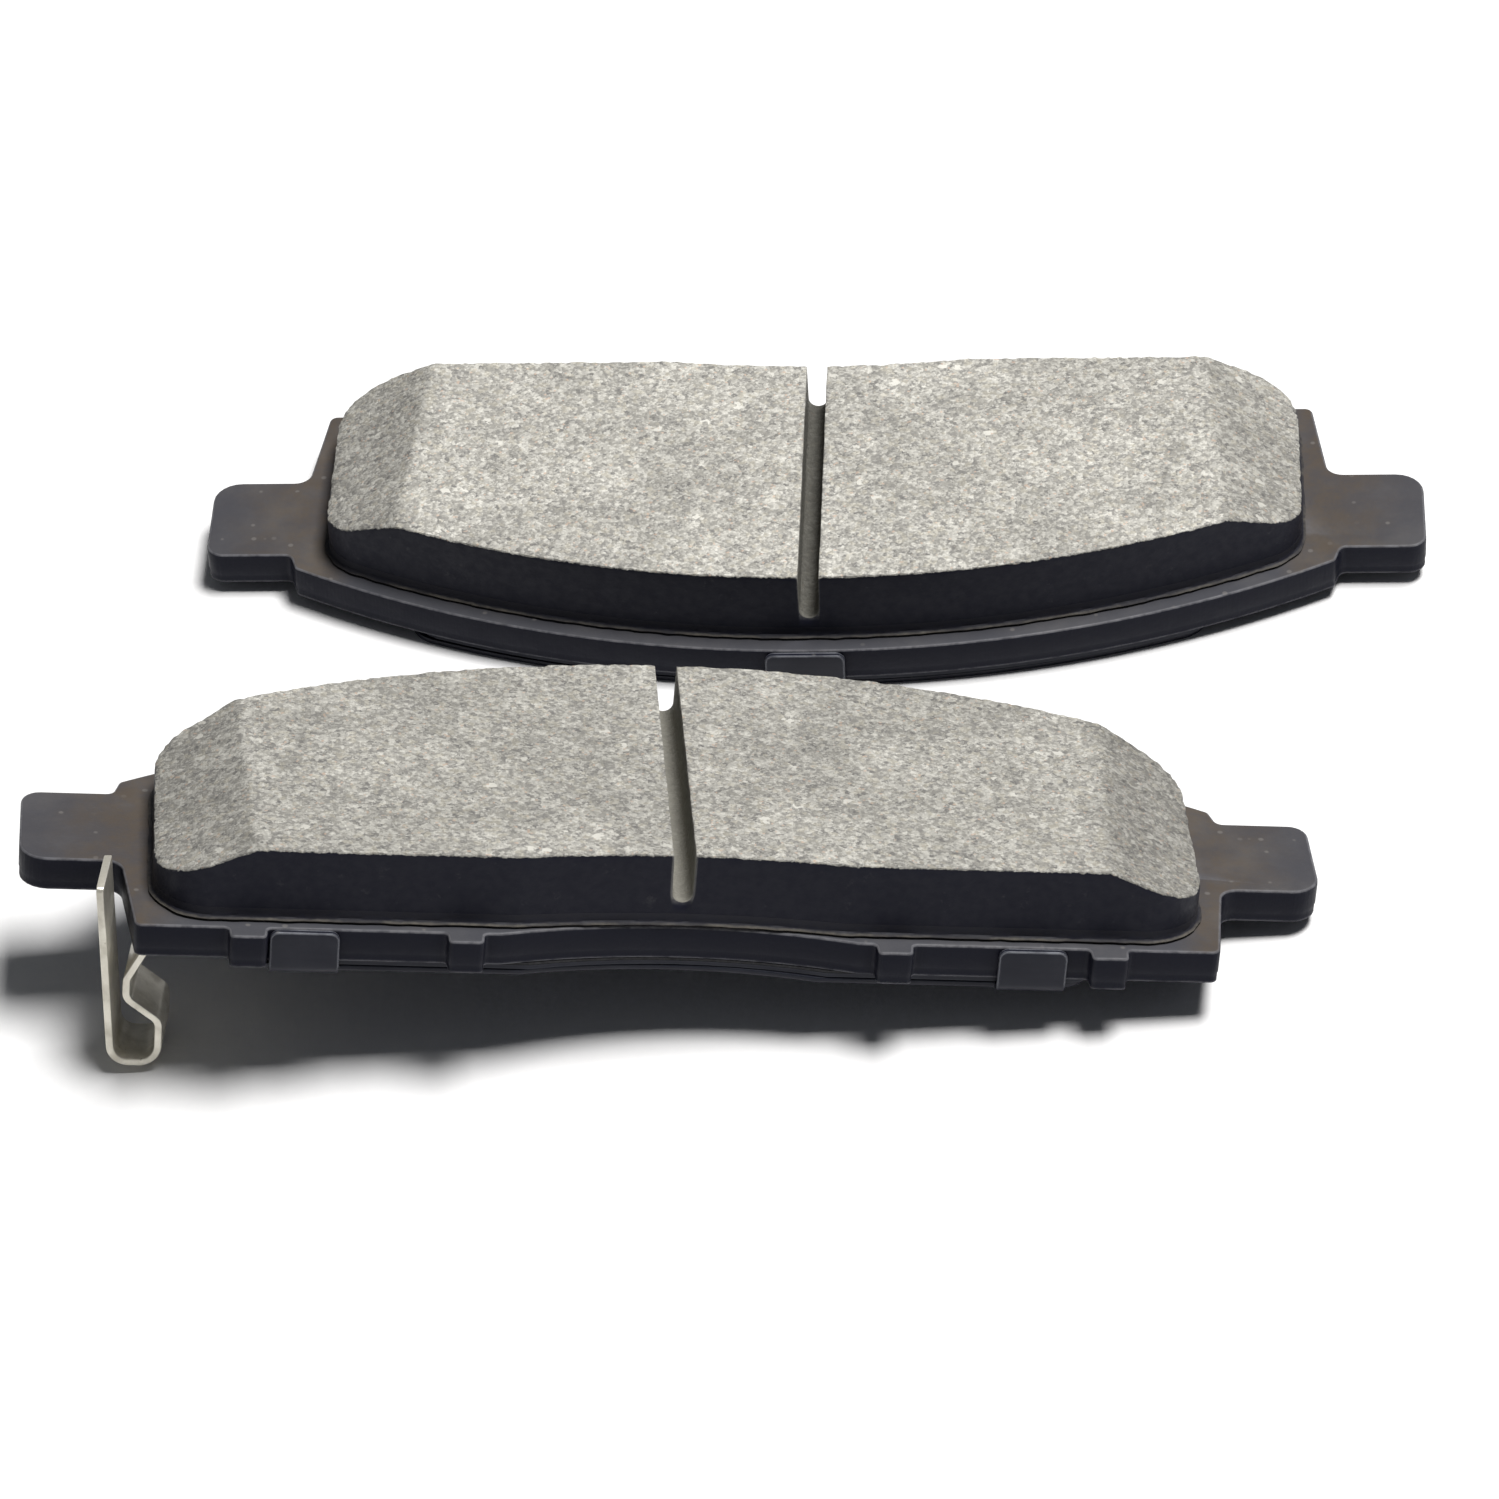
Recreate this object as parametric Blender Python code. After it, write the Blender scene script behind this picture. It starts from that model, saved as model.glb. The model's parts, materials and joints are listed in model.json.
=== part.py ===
"""A pair of disc brake pads laid friction side up on a flat surface: the outer pad lies flat on its shim, and
the inner pad, turned the other way round, rests on the loop of its wear indicator and on its far edge.

Each pad is modelled in its own frame: +X along the pad, +Y radially outwards, +Z towards the disc, with z = 0
on the backing plate's friction side. An empty then lays each pad down. Sizes are in millimetres and are turned
into metres when a mesh is made.
"""

import math

import bmesh
import bpy
from mathutils import Matrix, Vector

MM = 0.001

# Backing plate: a stamped steel blank, one large arc outside, an ear at each end, four locating lugs inside.
PLATE_THICK = 5.0
PLATE_ARC = 151.0
PLATE_TOP = 31.9
ARC_CENTRE_Y = PLATE_TOP - PLATE_ARC
PLATE_INNER = -24.8
PLATE_CORNER_X = 72.8
PLATE_SHOULDER_X = 75.3
ARCH_HALF = 24.0
ARCH_RISE = 2.9
EAR_END = 88.6
EAR_HALF = 8.7
EAR_ROOT_X = 76.2
EAR_NECK_X = 74.9
LUG_SPANS = ((26.2, 31.3), (55.1, 60.4))
LUG_OUT = 2.3
PLATE_BEVEL = 0.45

# Friction block, its moulded underlayer, and the adhesive that bonds them to the plate.
LAYER_GAP = 0.05
FILM_THICK = 0.25
UNDERLAYER_THICK = 1.5
UNDERLAYER_FLASH = 0.35
FRICTION_TOP = 11.0
FRICTION_ARC = 148.0
FRICTION_SIDE_X = 70.6
FRICTION_INNER = -23.0
FRICTION_ARCH_RISE = 1.5
FRICTION_CORNER = 8.0
CREASE_INNER_X = 57.0
CREASE_OUTER_X = 59.6
CHAMFER_DROP = 5.2
SLOT_WIDE = 2.8
SLOT_FLOOR = 3.6
PEG_RADIUS = 4.6
PEG_HOLE_RADIUS = 5.0
PEG_DEEP = 4.5
PEG_PLACES = ((-46.0, 2.0), (-23.0, 4.0), (23.0, 4.0), (46.0, 2.0))

# Shims: a rubber-faced damping shim glued to the plate, and a tabbed steel shim clipped over it.
SHIM_END = 57.5
SHIM_INNER = -23.9
SHIM_ARC = 150.2
SHIM_CORNER = 5.0
RUBBER_THICK = 0.35
CORE_THICK = 0.6
TAB_SHIM_THICK = 0.8
TAB_SHIM_GAP = 0.15
TAB_CLEAR = 0.25
TAB_BEND = 1.1
TAB_TOP = -0.25
TAB_CORNER = 1.2
EDGE_TAB_X = 48.85
EDGE_TAB_WIDE = 9.3
CENTRE_TAB_WIDE = 11.4
INNER_SHIM_SHIFT = -1.4
OUTER_SHIM_SHIFT = 0.7

# Wear indicator: a spring strip bent to a hook, riveted under the inner pad's plate.
STRIP_THICK = 1.0
STRIP_NEAR_Y = -19.4
STRIP_FAR_Y = -10.3
STRIP_LEG_X = -77.6
STRIP_TIP = 2.0
STRIP_SKEW = 1.05
LOOP_DEPTH = 21.0
LOOP_LEFT_X = -75.5
LOOP_RIGHT_X = -69.2
NECK_X = -73.7
FOOT_END_X = -60.8
RIVET_PLACE = (-65.2, -14.85)
RIVET_RADIUS = 2.2
RIVET_HOLE_RADIUS = 2.5
RIVET_SINK_RADIUS = 3.9
RIVET_SINK_DEEP = 1.6
RIVET_HEAD_RADIUS = 3.7
RIVET_HEAD_THICK = 1.4

# How the two pads lie: pad centres, turns about the vertical, and the inner pad's three points of rest.
INNER_PLACE = (-11.2, -42.6)
INNER_TURN = 1.7
OUTER_PLACE = (11.2, 40.6)
OUTER_TURN = 176.4
EAR_SUPPORT = (87.06, 7.95)
SHIM_SUPPORT = (54.20, 20.20)
LOOP_SUPPORT = (-70.72, STRIP_FAR_Y)

UNDER_PLATE = -PLATE_THICK
RUBBER_TOP = UNDER_PLATE - LAYER_GAP
CORE_TOP = RUBBER_TOP - RUBBER_THICK - LAYER_GAP
TAB_SHIM_TOP = CORE_TOP - CORE_THICK - TAB_SHIM_GAP
SHIM_BOTTOM = TAB_SHIM_TOP - TAB_SHIM_THICK
FILM_TOP = LAYER_GAP + FILM_THICK
UNDERLAYER_TOP = FILM_TOP + LAYER_GAP + UNDERLAYER_THICK
FRICTION_BASE = UNDERLAYER_TOP + LAYER_GAP

FINISHES = {
    "painted_plate": ((0.075, 0.072, 0.075), 0.62, 0.25),
    "adhesive": ((0.30, 0.22, 0.14), 0.60, 0.0),
    "underlayer": ((0.16, 0.15, 0.14), 0.85, 0.0),
    "friction": ((0.42, 0.39, 0.35), 0.92, 0.05),
    "shim_rubber": ((0.03, 0.03, 0.035), 0.80, 0.0),
    "shim_steel": ((0.16, 0.16, 0.18), 0.45, 0.8),
    "spring_steel": ((0.62, 0.60, 0.53), 0.32, 1.0),
    "rivet_steel": ((0.50, 0.49, 0.45), 0.35, 1.0),
}


def clear_scene():
    """Empty the scene of whatever was in it."""
    for old in list(bpy.data.objects):
        bpy.data.objects.remove(old, do_unlink=True)


def finish_named(name):
    """The material of that name, made from its colour, roughness and metallic value."""
    made = bpy.data.materials.get(name)
    if made:
        return made
    colour, roughness, metallic = FINISHES[name]
    made = bpy.data.materials.new(name)
    made.use_nodes = True
    shader = made.node_tree.nodes["Principled BSDF"]
    shader.inputs["Base Color"].default_value = (*colour, 1.0)
    shader.inputs["Roughness"].default_value = roughness
    shader.inputs["Metallic"].default_value = metallic
    made.diffuse_color = (*colour, 1.0)
    return made


def arc(centre, radius, start, end, steps):
    """Points along a circle from one angle to another, in degrees, both ends included."""
    points = []
    for step in range(steps + 1):
        angle = math.radians(start + (end - start) * step / steps)
        points.append((centre[0] + radius * math.cos(angle), centre[1] + radius * math.sin(angle)))
    return points


def rounded(corners, steps=4):
    """An open run of corners (x, y, radius), with each corner that has a radius turned into an arc."""
    points = []
    for index, (x, y, radius) in enumerate(corners):
        if radius == 0 or index in (0, len(corners) - 1):
            points.append((x, y))
            continue
        here = Vector((x, y))
        back = (Vector(corners[index - 1][:2]) - here).normalized()
        ahead = (Vector(corners[index + 1][:2]) - here).normalized()
        half = back.angle(ahead) / 2
        centre = here + (back + ahead).normalized() * (radius / math.sin(half))
        first = here + back * (radius / math.tan(half)) - centre
        turn = first.angle_signed(here + ahead * (radius / math.tan(half)) - centre)
        for step in range(steps + 1):
            spoke = first.copy()
            spoke.rotate(Matrix.Rotation(-turn * step / steps, 2))
            points.append(tuple(centre + spoke))
    return points


def mirrored_whole(half):
    """A closed outline from its right half, which runs from the lowest point on x = 0 up to the highest."""
    left = [(-x, y) for x, y in reversed(half) if x > 1e-6]
    return list(half) + left


def corner_under_arc(side_x, radius, arc_radius, steps=6):
    """The rounded corner between a straight side and the large outer arc, then the arc up to x = 0."""
    centre_x = side_x - radius
    reach = arc_radius - radius
    centre_y = ARC_CENTRE_Y + math.sqrt(reach * reach - centre_x * centre_x)
    meets = math.degrees(math.atan2(centre_y - ARC_CENTRE_Y, centre_x))
    corner = arc((centre_x, centre_y), radius, 0.0, meets, steps)
    return corner + arc((0.0, ARC_CENTRE_Y), arc_radius, meets, 90.0, 14)[1:]


def arch_run(inner_y, rise, half, steps=7):
    """The shallow arch in the middle of the inner edge, from x = 0 outwards."""
    radius = (half * half + rise * rise) / (2 * rise)
    reach = math.degrees(math.asin(half / radius))
    return arc((0.0, inner_y + rise - radius), radius, 90.0, 90.0 - reach, steps)


def plate_outline():
    """The backing plate seen from the friction side."""
    half = arch_run(PLATE_INNER, ARCH_RISE, ARCH_HALF)
    corners = [(*half[-1], 0)]
    for low, high in LUG_SPANS:
        out = PLATE_INNER - LUG_OUT
        corners += [(low, PLATE_INNER, 0.6), (low + 0.2, out, 0.7), (high - 0.2, out, 0.7), (high, PLATE_INNER, 0.6)]
    corners += [
        (PLATE_CORNER_X, PLATE_INNER, 1.2),
        (EAR_NECK_X, -EAR_HALF, 2.4),
        (EAR_END, -EAR_HALF, 4.0),
        (EAR_END, EAR_HALF, 2.6),
        (EAR_ROOT_X, EAR_HALF, 1.2),
    ]
    shoulder = math.degrees(math.acos(PLATE_SHOULDER_X / PLATE_ARC))
    outer = arc((0.0, ARC_CENTRE_Y), PLATE_ARC, shoulder, 90.0, 18)
    corners += [(*outer[0], 1.0), (*outer[1], 0)]
    return mirrored_whole(half[:-1] + rounded(corners, 3) + outer[2:])


def friction_outline(grow=0.0):
    """The friction block seen from the disc, or the same outline grown outwards a little."""
    inner = FRICTION_INNER - grow
    side = FRICTION_SIDE_X + grow
    half = arch_run(inner, FRICTION_ARCH_RISE, 22.0, 5)
    corner = arc((side - FRICTION_CORNER, inner + FRICTION_CORNER), FRICTION_CORNER, -90.0, 0.0, 6)
    return mirrored_whole(half + corner + corner_under_arc(side, FRICTION_CORNER, FRICTION_ARC + grow))


def shim_outline():
    """Both shims' outline, short of the plate's edge and of the wear indicator's foot."""
    half = arch_run(SHIM_INNER, 2.2, 20.0, 5)
    centre = (SHIM_END - SHIM_CORNER, SHIM_INNER + SHIM_CORNER)
    corner = arc(centre, SHIM_CORNER, -90.0, 0.0, 4)
    return mirrored_whole(half + corner + corner_under_arc(SHIM_END, SHIM_CORNER, SHIM_ARC, 4))


def circle(place, radius, steps):
    """A closed round outline."""
    return arc(place, radius, 0.0, 360.0 - 360.0 / steps, steps - 1)


def add_prism(bm, outline, low, high):
    """Extrude a closed outline, which runs anticlockwise, between two heights."""
    floor = [bm.verts.new((x * MM, y * MM, low * MM)) for x, y in outline]
    roof = [bm.verts.new((x * MM, y * MM, high * MM)) for x, y in outline]
    bm.faces.new(list(reversed(floor)))
    bm.faces.new(roof)
    for index in range(len(outline)):
        after = (index + 1) % len(outline)
        bm.faces.new((floor[index], floor[after], roof[after], roof[index]))


def add_ring(bm, radii_heights, place, steps):
    """A turned solid from (radius, height) pairs that run from its top to its bottom, closed by flat ends."""
    rings = []
    for radius, height in radii_heights:
        rings.append([bm.verts.new((x * MM, y * MM, height * MM)) for x, y in circle(place, radius, steps)])
    bm.faces.new(rings[0])
    bm.faces.new(list(reversed(rings[-1])))
    for upper, lower in zip(rings, rings[1:]):
        for index in range(steps):
            after = (index + 1) % steps
            bm.faces.new((lower[index], lower[after], upper[after], upper[index]))


def node_from(bm, name, finish, frame, smooth=30.0):
    """Turn a bmesh into a named sub-part with its finish, carried by its pad's frame."""
    bmesh.ops.recalc_face_normals(bm, faces=bm.faces)
    mesh = bpy.data.meshes.new(name)
    bm.to_mesh(mesh)
    bm.free()
    mesh.shade_smooth()
    mesh.set_sharp_from_angle(angle=math.radians(smooth))
    mesh.materials.append(finish_named(finish))
    made = bpy.data.objects.new(name, mesh)
    bpy.context.scene.collection.objects.link(made)
    made.parent = frame
    return made


def helper_from(bm, name, frame):
    """A cutter or a joined piece: it shapes another sub-part and isn't one itself."""
    made = node_from(bm, name, "underlayer", frame)
    made.hide_render = True
    made.display_type = "WIRE"
    return made


def boolean(target, tool, operation="DIFFERENCE"):
    """Cut the tool from the target, or join it on."""
    step = target.modifiers.new(f"{operation.lower()}_{tool.name}", "BOOLEAN")
    step.operation = operation
    step.solver = "EXACT"
    step.object = tool


def soften(target, width, segments=1, angle=35.0):
    """Round the sharp edges as stamping or moulding leaves them."""
    step = target.modifiers.new("edges", "BEVEL")
    step.width = width * MM
    step.segments = segments
    step.limit_method = "ANGLE"
    step.angle_limit = math.radians(angle)


def peg_holes(name, low, high, frame):
    """Cutter for the holes that key the moulded underlayer to the plate."""
    bm = bmesh.new()
    for place in PEG_PLACES:
        add_prism(bm, circle(place, PEG_HOLE_RADIUS, 20), low, high)
    return helper_from(bm, name, frame)


def make_plate(pad, frame, riveted):
    """The stamped backing plate, with its keying holes and, on the inner pad, the rivet's sunk hole."""
    bm = bmesh.new()
    add_prism(bm, plate_outline(), UNDER_PLATE, 0.0)
    plate = node_from(bm, f"{pad}_backing_plate", "painted_plate", frame)
    soften(plate, PLATE_BEVEL, 2, 60.0)
    boolean(plate, peg_holes(f"{pad}_peg_hole_cutter", UNDER_PLATE - 1.0, 1.0, frame))
    if riveted:
        bm = bmesh.new()
        sunk = RIVET_SINK_RADIUS + 0.3
        profile = [(sunk, 1.0), (sunk, 0.0), (RIVET_HOLE_RADIUS, -RIVET_SINK_DEEP - 0.3)]
        profile.append((RIVET_HOLE_RADIUS, UNDER_PLATE - 1.0))
        add_ring(bm, profile, RIVET_PLACE, 20)
        boolean(plate, helper_from(bm, f"{pad}_rivet_hole_cutter", frame))


def make_film(pad, frame):
    """The bonding film between plate and underlayer, open at the keying holes."""
    bm = bmesh.new()
    add_prism(bm, friction_outline(), LAYER_GAP, FILM_TOP)
    film = node_from(bm, f"{pad}_adhesive_film", "adhesive", frame)
    boolean(film, peg_holes(f"{pad}_film_hole_cutter", -1.0, 1.0, frame))


def make_underlayer(pad, frame):
    """The moulded underlayer, a little wider than the block, with pegs that fill the keying holes."""
    bm = bmesh.new()
    add_prism(bm, friction_outline(UNDERLAYER_FLASH), FILM_TOP + LAYER_GAP, UNDERLAYER_TOP)
    layer = node_from(bm, f"{pad}_underlayer", "underlayer", frame)
    bm = bmesh.new()
    for place in PEG_PLACES:
        add_prism(bm, circle(place, PEG_RADIUS, 20), -PEG_DEEP, FILM_TOP + LAYER_GAP + 0.5)
    boolean(layer, helper_from(bm, f"{pad}_underlayer_pegs", frame), "UNION")


def chamfer_end(bm, side):
    """Slice one end of the friction block down the slope that starts at its crease."""
    inner = Vector((side * CREASE_INNER_X, FRICTION_INNER, FRICTION_TOP))
    outer = Vector((side * CREASE_OUTER_X, PLATE_TOP / 2, FRICTION_TOP))
    foot = Vector((side * FRICTION_SIDE_X, 0.0, FRICTION_TOP - CHAMFER_DROP))
    normal = (outer - inner).cross(foot - inner).normalized()
    if normal.z < 0:
        normal.negate()
    whole = list(bm.verts) + list(bm.edges) + list(bm.faces)
    cut = bmesh.ops.bisect_plane(bm, geom=whole, plane_co=inner * MM, plane_no=normal, clear_outer=True)
    rim = [piece for piece in cut["geom_cut"] if isinstance(piece, bmesh.types.BMEdge)]
    bmesh.ops.contextual_create(bm, geom=rim)


def make_friction(pad, frame):
    """The friction block: chamfered at both ends and slotted across its middle."""
    bm = bmesh.new()
    add_prism(bm, friction_outline(), FRICTION_BASE, FRICTION_TOP)
    for side in (-1, 1):
        chamfer_end(bm, side)
    block = node_from(bm, f"{pad}_friction_block", "friction", frame)
    bm = bmesh.new()
    half = SLOT_WIDE / 2
    round_floor = arc((0.0, SLOT_FLOOR + half), half, 180.0, 360.0, 8)
    section = round_floor + [(half, FRICTION_TOP + 2.0), (-half, FRICTION_TOP + 2.0)]
    add_prism(bm, section, -PLATE_TOP - 3.0, -PLATE_INNER + 3.0)
    bm.transform(Matrix.Rotation(math.radians(90.0), 4, "X"))
    boolean(block, helper_from(bm, f"{pad}_slot_cutter", frame))
    soften(block, 0.25, 1, 50.0)


def make_damping_shim(pad, frame):
    """The damping shim glued to the plate's back: a rubber face on a steel core."""
    bm = bmesh.new()
    add_prism(bm, shim_outline(), RUBBER_TOP - RUBBER_THICK, RUBBER_TOP)
    node_from(bm, f"{pad}_damping_shim_rubber", "shim_rubber", frame)
    bm = bmesh.new()
    add_prism(bm, shim_outline(), CORE_TOP - CORE_THICK, CORE_TOP)
    node_from(bm, f"{pad}_damping_shim_core", "shim_steel", frame)


def tab_section(edge_y, outward):
    """A tab's section in (y, z): the sheet runs out past the plate's edge and bends up beside it."""
    bend = TAB_BEND
    inside = TAB_SHIM_TOP + bend
    wall = edge_y + outward * TAB_CLEAR
    root = edge_y - outward * 6.0
    centre = wall - outward * bend
    under = arc((centre, inside), bend + TAB_SHIM_THICK, -90.0, 0.0, 5)
    over = arc((centre, inside), bend, 0.0, -90.0, 5)
    if outward < 0:
        under = [(2 * centre - y, z) for y, z in under]
        over = [(2 * centre - y, z) for y, z in over]
    stem = [(wall + outward * TAB_SHIM_THICK, TAB_TOP - TAB_CORNER), (wall, TAB_TOP - TAB_CORNER)]
    return [(root, SHIM_BOTTOM)] + under + stem + over + [(root, TAB_SHIM_TOP)]


def add_tab(bm, middle_x, wide, edge_y, outward):
    """One clip tab of the tabbed shim: the bent sheet, and its rounded upper edge."""
    section = tab_section(edge_y, outward)
    low, high = middle_x - wide / 2, middle_x + wide / 2
    first = [bm.verts.new((low * MM, y * MM, z * MM)) for y, z in section]
    last = [bm.verts.new((high * MM, y * MM, z * MM)) for y, z in section]
    bm.faces.new(first)
    bm.faces.new(list(reversed(last)))
    for index in range(len(section)):
        after = (index + 1) % len(section)
        bm.faces.new((first[index], last[index], last[after], first[after]))


def add_tab_head(bm, middle_x, wide, edge_y, outward):
    """The flat top of a tab, with both upper corners rounded."""
    wall = edge_y + outward * TAB_CLEAR
    low_z = TAB_TOP - 2.5 * TAB_CORNER
    corners = [
        (middle_x - wide / 2, low_z, 0),
        (middle_x + wide / 2, low_z, 0),
        (middle_x + wide / 2, TAB_TOP, TAB_CORNER),
        (middle_x - wide / 2, TAB_TOP, TAB_CORNER),
        (middle_x - wide / 2, low_z, 0),
    ]
    outline = rounded(corners, 4)[:-1]
    near = [bm.verts.new((x * MM, wall * MM, z * MM)) for x, z in outline]
    far = [bm.verts.new((x * MM, (wall + outward * TAB_SHIM_THICK) * MM, z * MM)) for x, z in outline]
    bm.faces.new(near)
    bm.faces.new(list(reversed(far)))
    for index in range(len(outline)):
        after = (index + 1) % len(outline)
        bm.faces.new((near[index], far[index], far[after], near[after]))


def make_tabbed_shim(pad, frame, shift):
    """The steel shim that covers the damping shim, with two tabs inside and one outside, free to slide."""
    tabs = [
        (-EDGE_TAB_X, EDGE_TAB_WIDE, PLATE_INNER, -1),
        (EDGE_TAB_X, EDGE_TAB_WIDE, PLATE_INNER, -1),
        (0.0, CENTRE_TAB_WIDE, PLATE_TOP, 1),
    ]
    bm = bmesh.new()
    add_prism(bm, shim_outline(), SHIM_BOTTOM, TAB_SHIM_TOP)
    shim = node_from(bm, f"{pad}_tabbed_shim", "shim_steel", frame)
    shim.location.x = shift * MM
    for part, build in (("bends", add_tab), ("heads", add_tab_head)):
        bm = bmesh.new()
        for tab in tabs:
            build(bm, *tab)
        tool = helper_from(bm, f"{pad}_shim_tab_{part}", frame)
        tool.location.x = shift * MM
        boolean(shim, tool, "UNION")


def strip_centre_line():
    """The wear indicator's middle line in (x, z), from the tip down the leg, round the loop to the foot."""
    bottom = UNDER_PLATE - LOOP_DEPTH + STRIP_THICK / 2
    foot = UNDER_PLATE - LAYER_GAP * 2 - STRIP_THICK / 2
    corners = [
        (STRIP_LEG_X, STRIP_TIP, 0),
        (LOOP_LEFT_X, bottom, 2.6),
        (LOOP_RIGHT_X, bottom, 2.6),
        (LOOP_RIGHT_X, bottom + 6.6, 2.0),
        (NECK_X, bottom + 10.2, 1.8),
        (NECK_X, bottom + 13.2, 1.8),
        (NECK_X + 3.4, foot, 1.6),
        (FOOT_END_X, foot, 0),
    ]
    return [Vector(point) for point in rounded(corners, 5)]


def strip_outline():
    """The strip's outline in (x, z): its middle line moved half a thickness to either side."""
    line = strip_centre_line()
    left, right = [], []
    for index, point in enumerate(line):
        before = line[max(index - 1, 0)]
        after = line[min(index + 1, len(line) - 1)]
        along = (after - before).normalized()
        across = Vector((-along.y, along.x)) * STRIP_THICK / 2
        left.append(point + across)
        right.append(point - across)
    return left + list(reversed(right))


def make_wear_indicator(frame):
    """The bent spring strip, with the hole for its rivet."""
    outline = strip_outline()
    bm = bmesh.new()
    near = [bm.verts.new((x * MM, STRIP_NEAR_Y * MM, z * MM)) for x, z in outline]
    far = [bm.verts.new(((x + STRIP_SKEW) * MM, STRIP_FAR_Y * MM, z * MM)) for x, z in outline]
    bm.faces.new(near)
    bm.faces.new(list(reversed(far)))
    for index in range(len(outline)):
        after = (index + 1) % len(outline)
        bm.faces.new((near[index], far[index], far[after], near[after]))
    strip = node_from(bm, "wear_indicator", "spring_steel", frame, 40.0)
    bm = bmesh.new()
    add_prism(bm, circle(RIVET_PLACE, RIVET_HOLE_RADIUS, 20), UNDER_PLATE - 3.0, UNDER_PLATE + 1.0)
    boolean(strip, helper_from(bm, "wear_indicator_hole_cutter", frame))


def make_rivet(frame):
    """The rivet: sunk flush under the friction block and headed over the strip's foot."""
    head_top = UNDER_PLATE - LAYER_GAP * 3 - STRIP_THICK
    profile = [
        (RIVET_SINK_RADIUS, -LAYER_GAP),
        (RIVET_RADIUS, -RIVET_SINK_DEEP - LAYER_GAP),
        (RIVET_RADIUS, head_top),
        (RIVET_HEAD_RADIUS, head_top),
        (RIVET_HEAD_RADIUS * 0.92, head_top - RIVET_HEAD_THICK * 0.55),
        (RIVET_HEAD_RADIUS * 0.66, head_top - RIVET_HEAD_THICK),
    ]
    bm = bmesh.new()
    add_ring(bm, profile, RIVET_PLACE, 20)
    node_from(bm, "wear_indicator_rivet", "rivet_steel", frame)


def resting_matrix(supports, place, turn):
    """Lay a pad down so that its three support points, given in its own frame, all touch z = 0."""
    first, second, third = (Vector(point) * MM for point in supports)
    up = (second - first).cross(third - first).normalized()
    if up.z < 0:
        up.negate()
    level = up.rotation_difference(Vector((0.0, 0.0, 1.0))).to_matrix().to_4x4()
    height = -(level @ first).z
    spin = Matrix.Rotation(math.radians(turn), 4, "Z")
    return Matrix.Translation((place[0] * MM, place[1] * MM, height)) @ spin @ level


def make_frame(name, matrix):
    """The empty that carries one pad."""
    frame = bpy.data.objects.new(name, None)
    frame.empty_display_size = 0.02
    frame.matrix_world = matrix
    bpy.context.scene.collection.objects.link(frame)
    return frame


def inner_supports():
    """Where the inner pad touches the surface: its loop, its far ear and the far edge of its shim."""
    loop = (*LOOP_SUPPORT, UNDER_PLATE - LOOP_DEPTH)
    ear = (*EAR_SUPPORT, UNDER_PLATE)
    shim = (*SHIM_SUPPORT, SHIM_BOTTOM)
    return loop, ear, shim


def make_pad(pad, frame, shim_shift, with_indicator):
    """Every sub-part of one pad."""
    make_plate(pad, frame, with_indicator)
    make_film(pad, frame)
    make_underlayer(pad, frame)
    make_friction(pad, frame)
    make_damping_shim(pad, frame)
    make_tabbed_shim(pad, frame, shim_shift)
    if with_indicator:
        make_wear_indicator(frame)
        make_rivet(frame)


def main():
    """Build the outer pad flat on the surface and the inner pad on its loop."""
    clear_scene()
    flat = Matrix.Translation((OUTER_PLACE[0] * MM, OUTER_PLACE[1] * MM, -SHIM_BOTTOM * MM))
    outer = make_frame("outer_pad_frame", flat @ Matrix.Rotation(math.radians(OUTER_TURN), 4, "Z"))
    make_pad("outer", outer, OUTER_SHIM_SHIFT, False)
    inner = make_frame("inner_pad_frame", resting_matrix(inner_supports(), INNER_PLACE, INNER_TURN))
    make_pad("inner", inner, INNER_SHIM_SHIFT, True)
    bpy.context.view_layer.update()


main()
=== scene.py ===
"""Looks of a disc brake pad set: friction blocks, painted plates, coated shims and a bright wear indicator.

Lengths are in millimetres in a pad's own frame: +X along the pad, +Y radially outwards and +Z to the disc,
with z = 0 on the backing plate's friction side. They become metres when a mesh or a shader is made.
"""

import json
import logging
import math
from abc import ABC, abstractmethod
from dataclasses import dataclass, field
from enum import Enum
from typing import Callable, ClassVar, Sequence

import bmesh
import bpy
import numpy as np
from mathutils import Matrix, Vector, noise
from mathutils.geometry import delaunay_2d_cdt


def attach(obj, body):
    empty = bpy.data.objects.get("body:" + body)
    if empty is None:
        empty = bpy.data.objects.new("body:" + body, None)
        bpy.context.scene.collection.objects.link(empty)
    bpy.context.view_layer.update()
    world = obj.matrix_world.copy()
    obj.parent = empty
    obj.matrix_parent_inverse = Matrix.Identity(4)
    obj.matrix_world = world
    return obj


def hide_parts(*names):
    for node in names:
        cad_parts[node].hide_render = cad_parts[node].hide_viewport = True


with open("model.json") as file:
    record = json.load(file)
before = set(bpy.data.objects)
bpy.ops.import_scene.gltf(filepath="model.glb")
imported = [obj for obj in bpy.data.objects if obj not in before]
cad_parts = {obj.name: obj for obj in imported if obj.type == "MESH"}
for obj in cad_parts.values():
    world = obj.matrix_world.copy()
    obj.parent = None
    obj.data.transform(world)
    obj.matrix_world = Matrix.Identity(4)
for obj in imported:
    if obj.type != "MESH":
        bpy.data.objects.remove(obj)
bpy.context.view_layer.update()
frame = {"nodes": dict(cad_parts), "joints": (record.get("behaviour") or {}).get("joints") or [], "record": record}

MM = 0.001

Point = tuple[float, float]
Corner = tuple[float, float, float]
Colour = tuple[float, float, float]
Mesh = bpy.types.Mesh
Node = bpy.types.Node
Socket = bpy.types.NodeSocket
Value = float | Socket
Tint = Colour | Socket

log = logging.getLogger("pad_set")


# ---- Named options ----


class Pad(Enum):
    """The two pads of the set."""

    OUTER = "outer"
    INNER = "inner"


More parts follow.
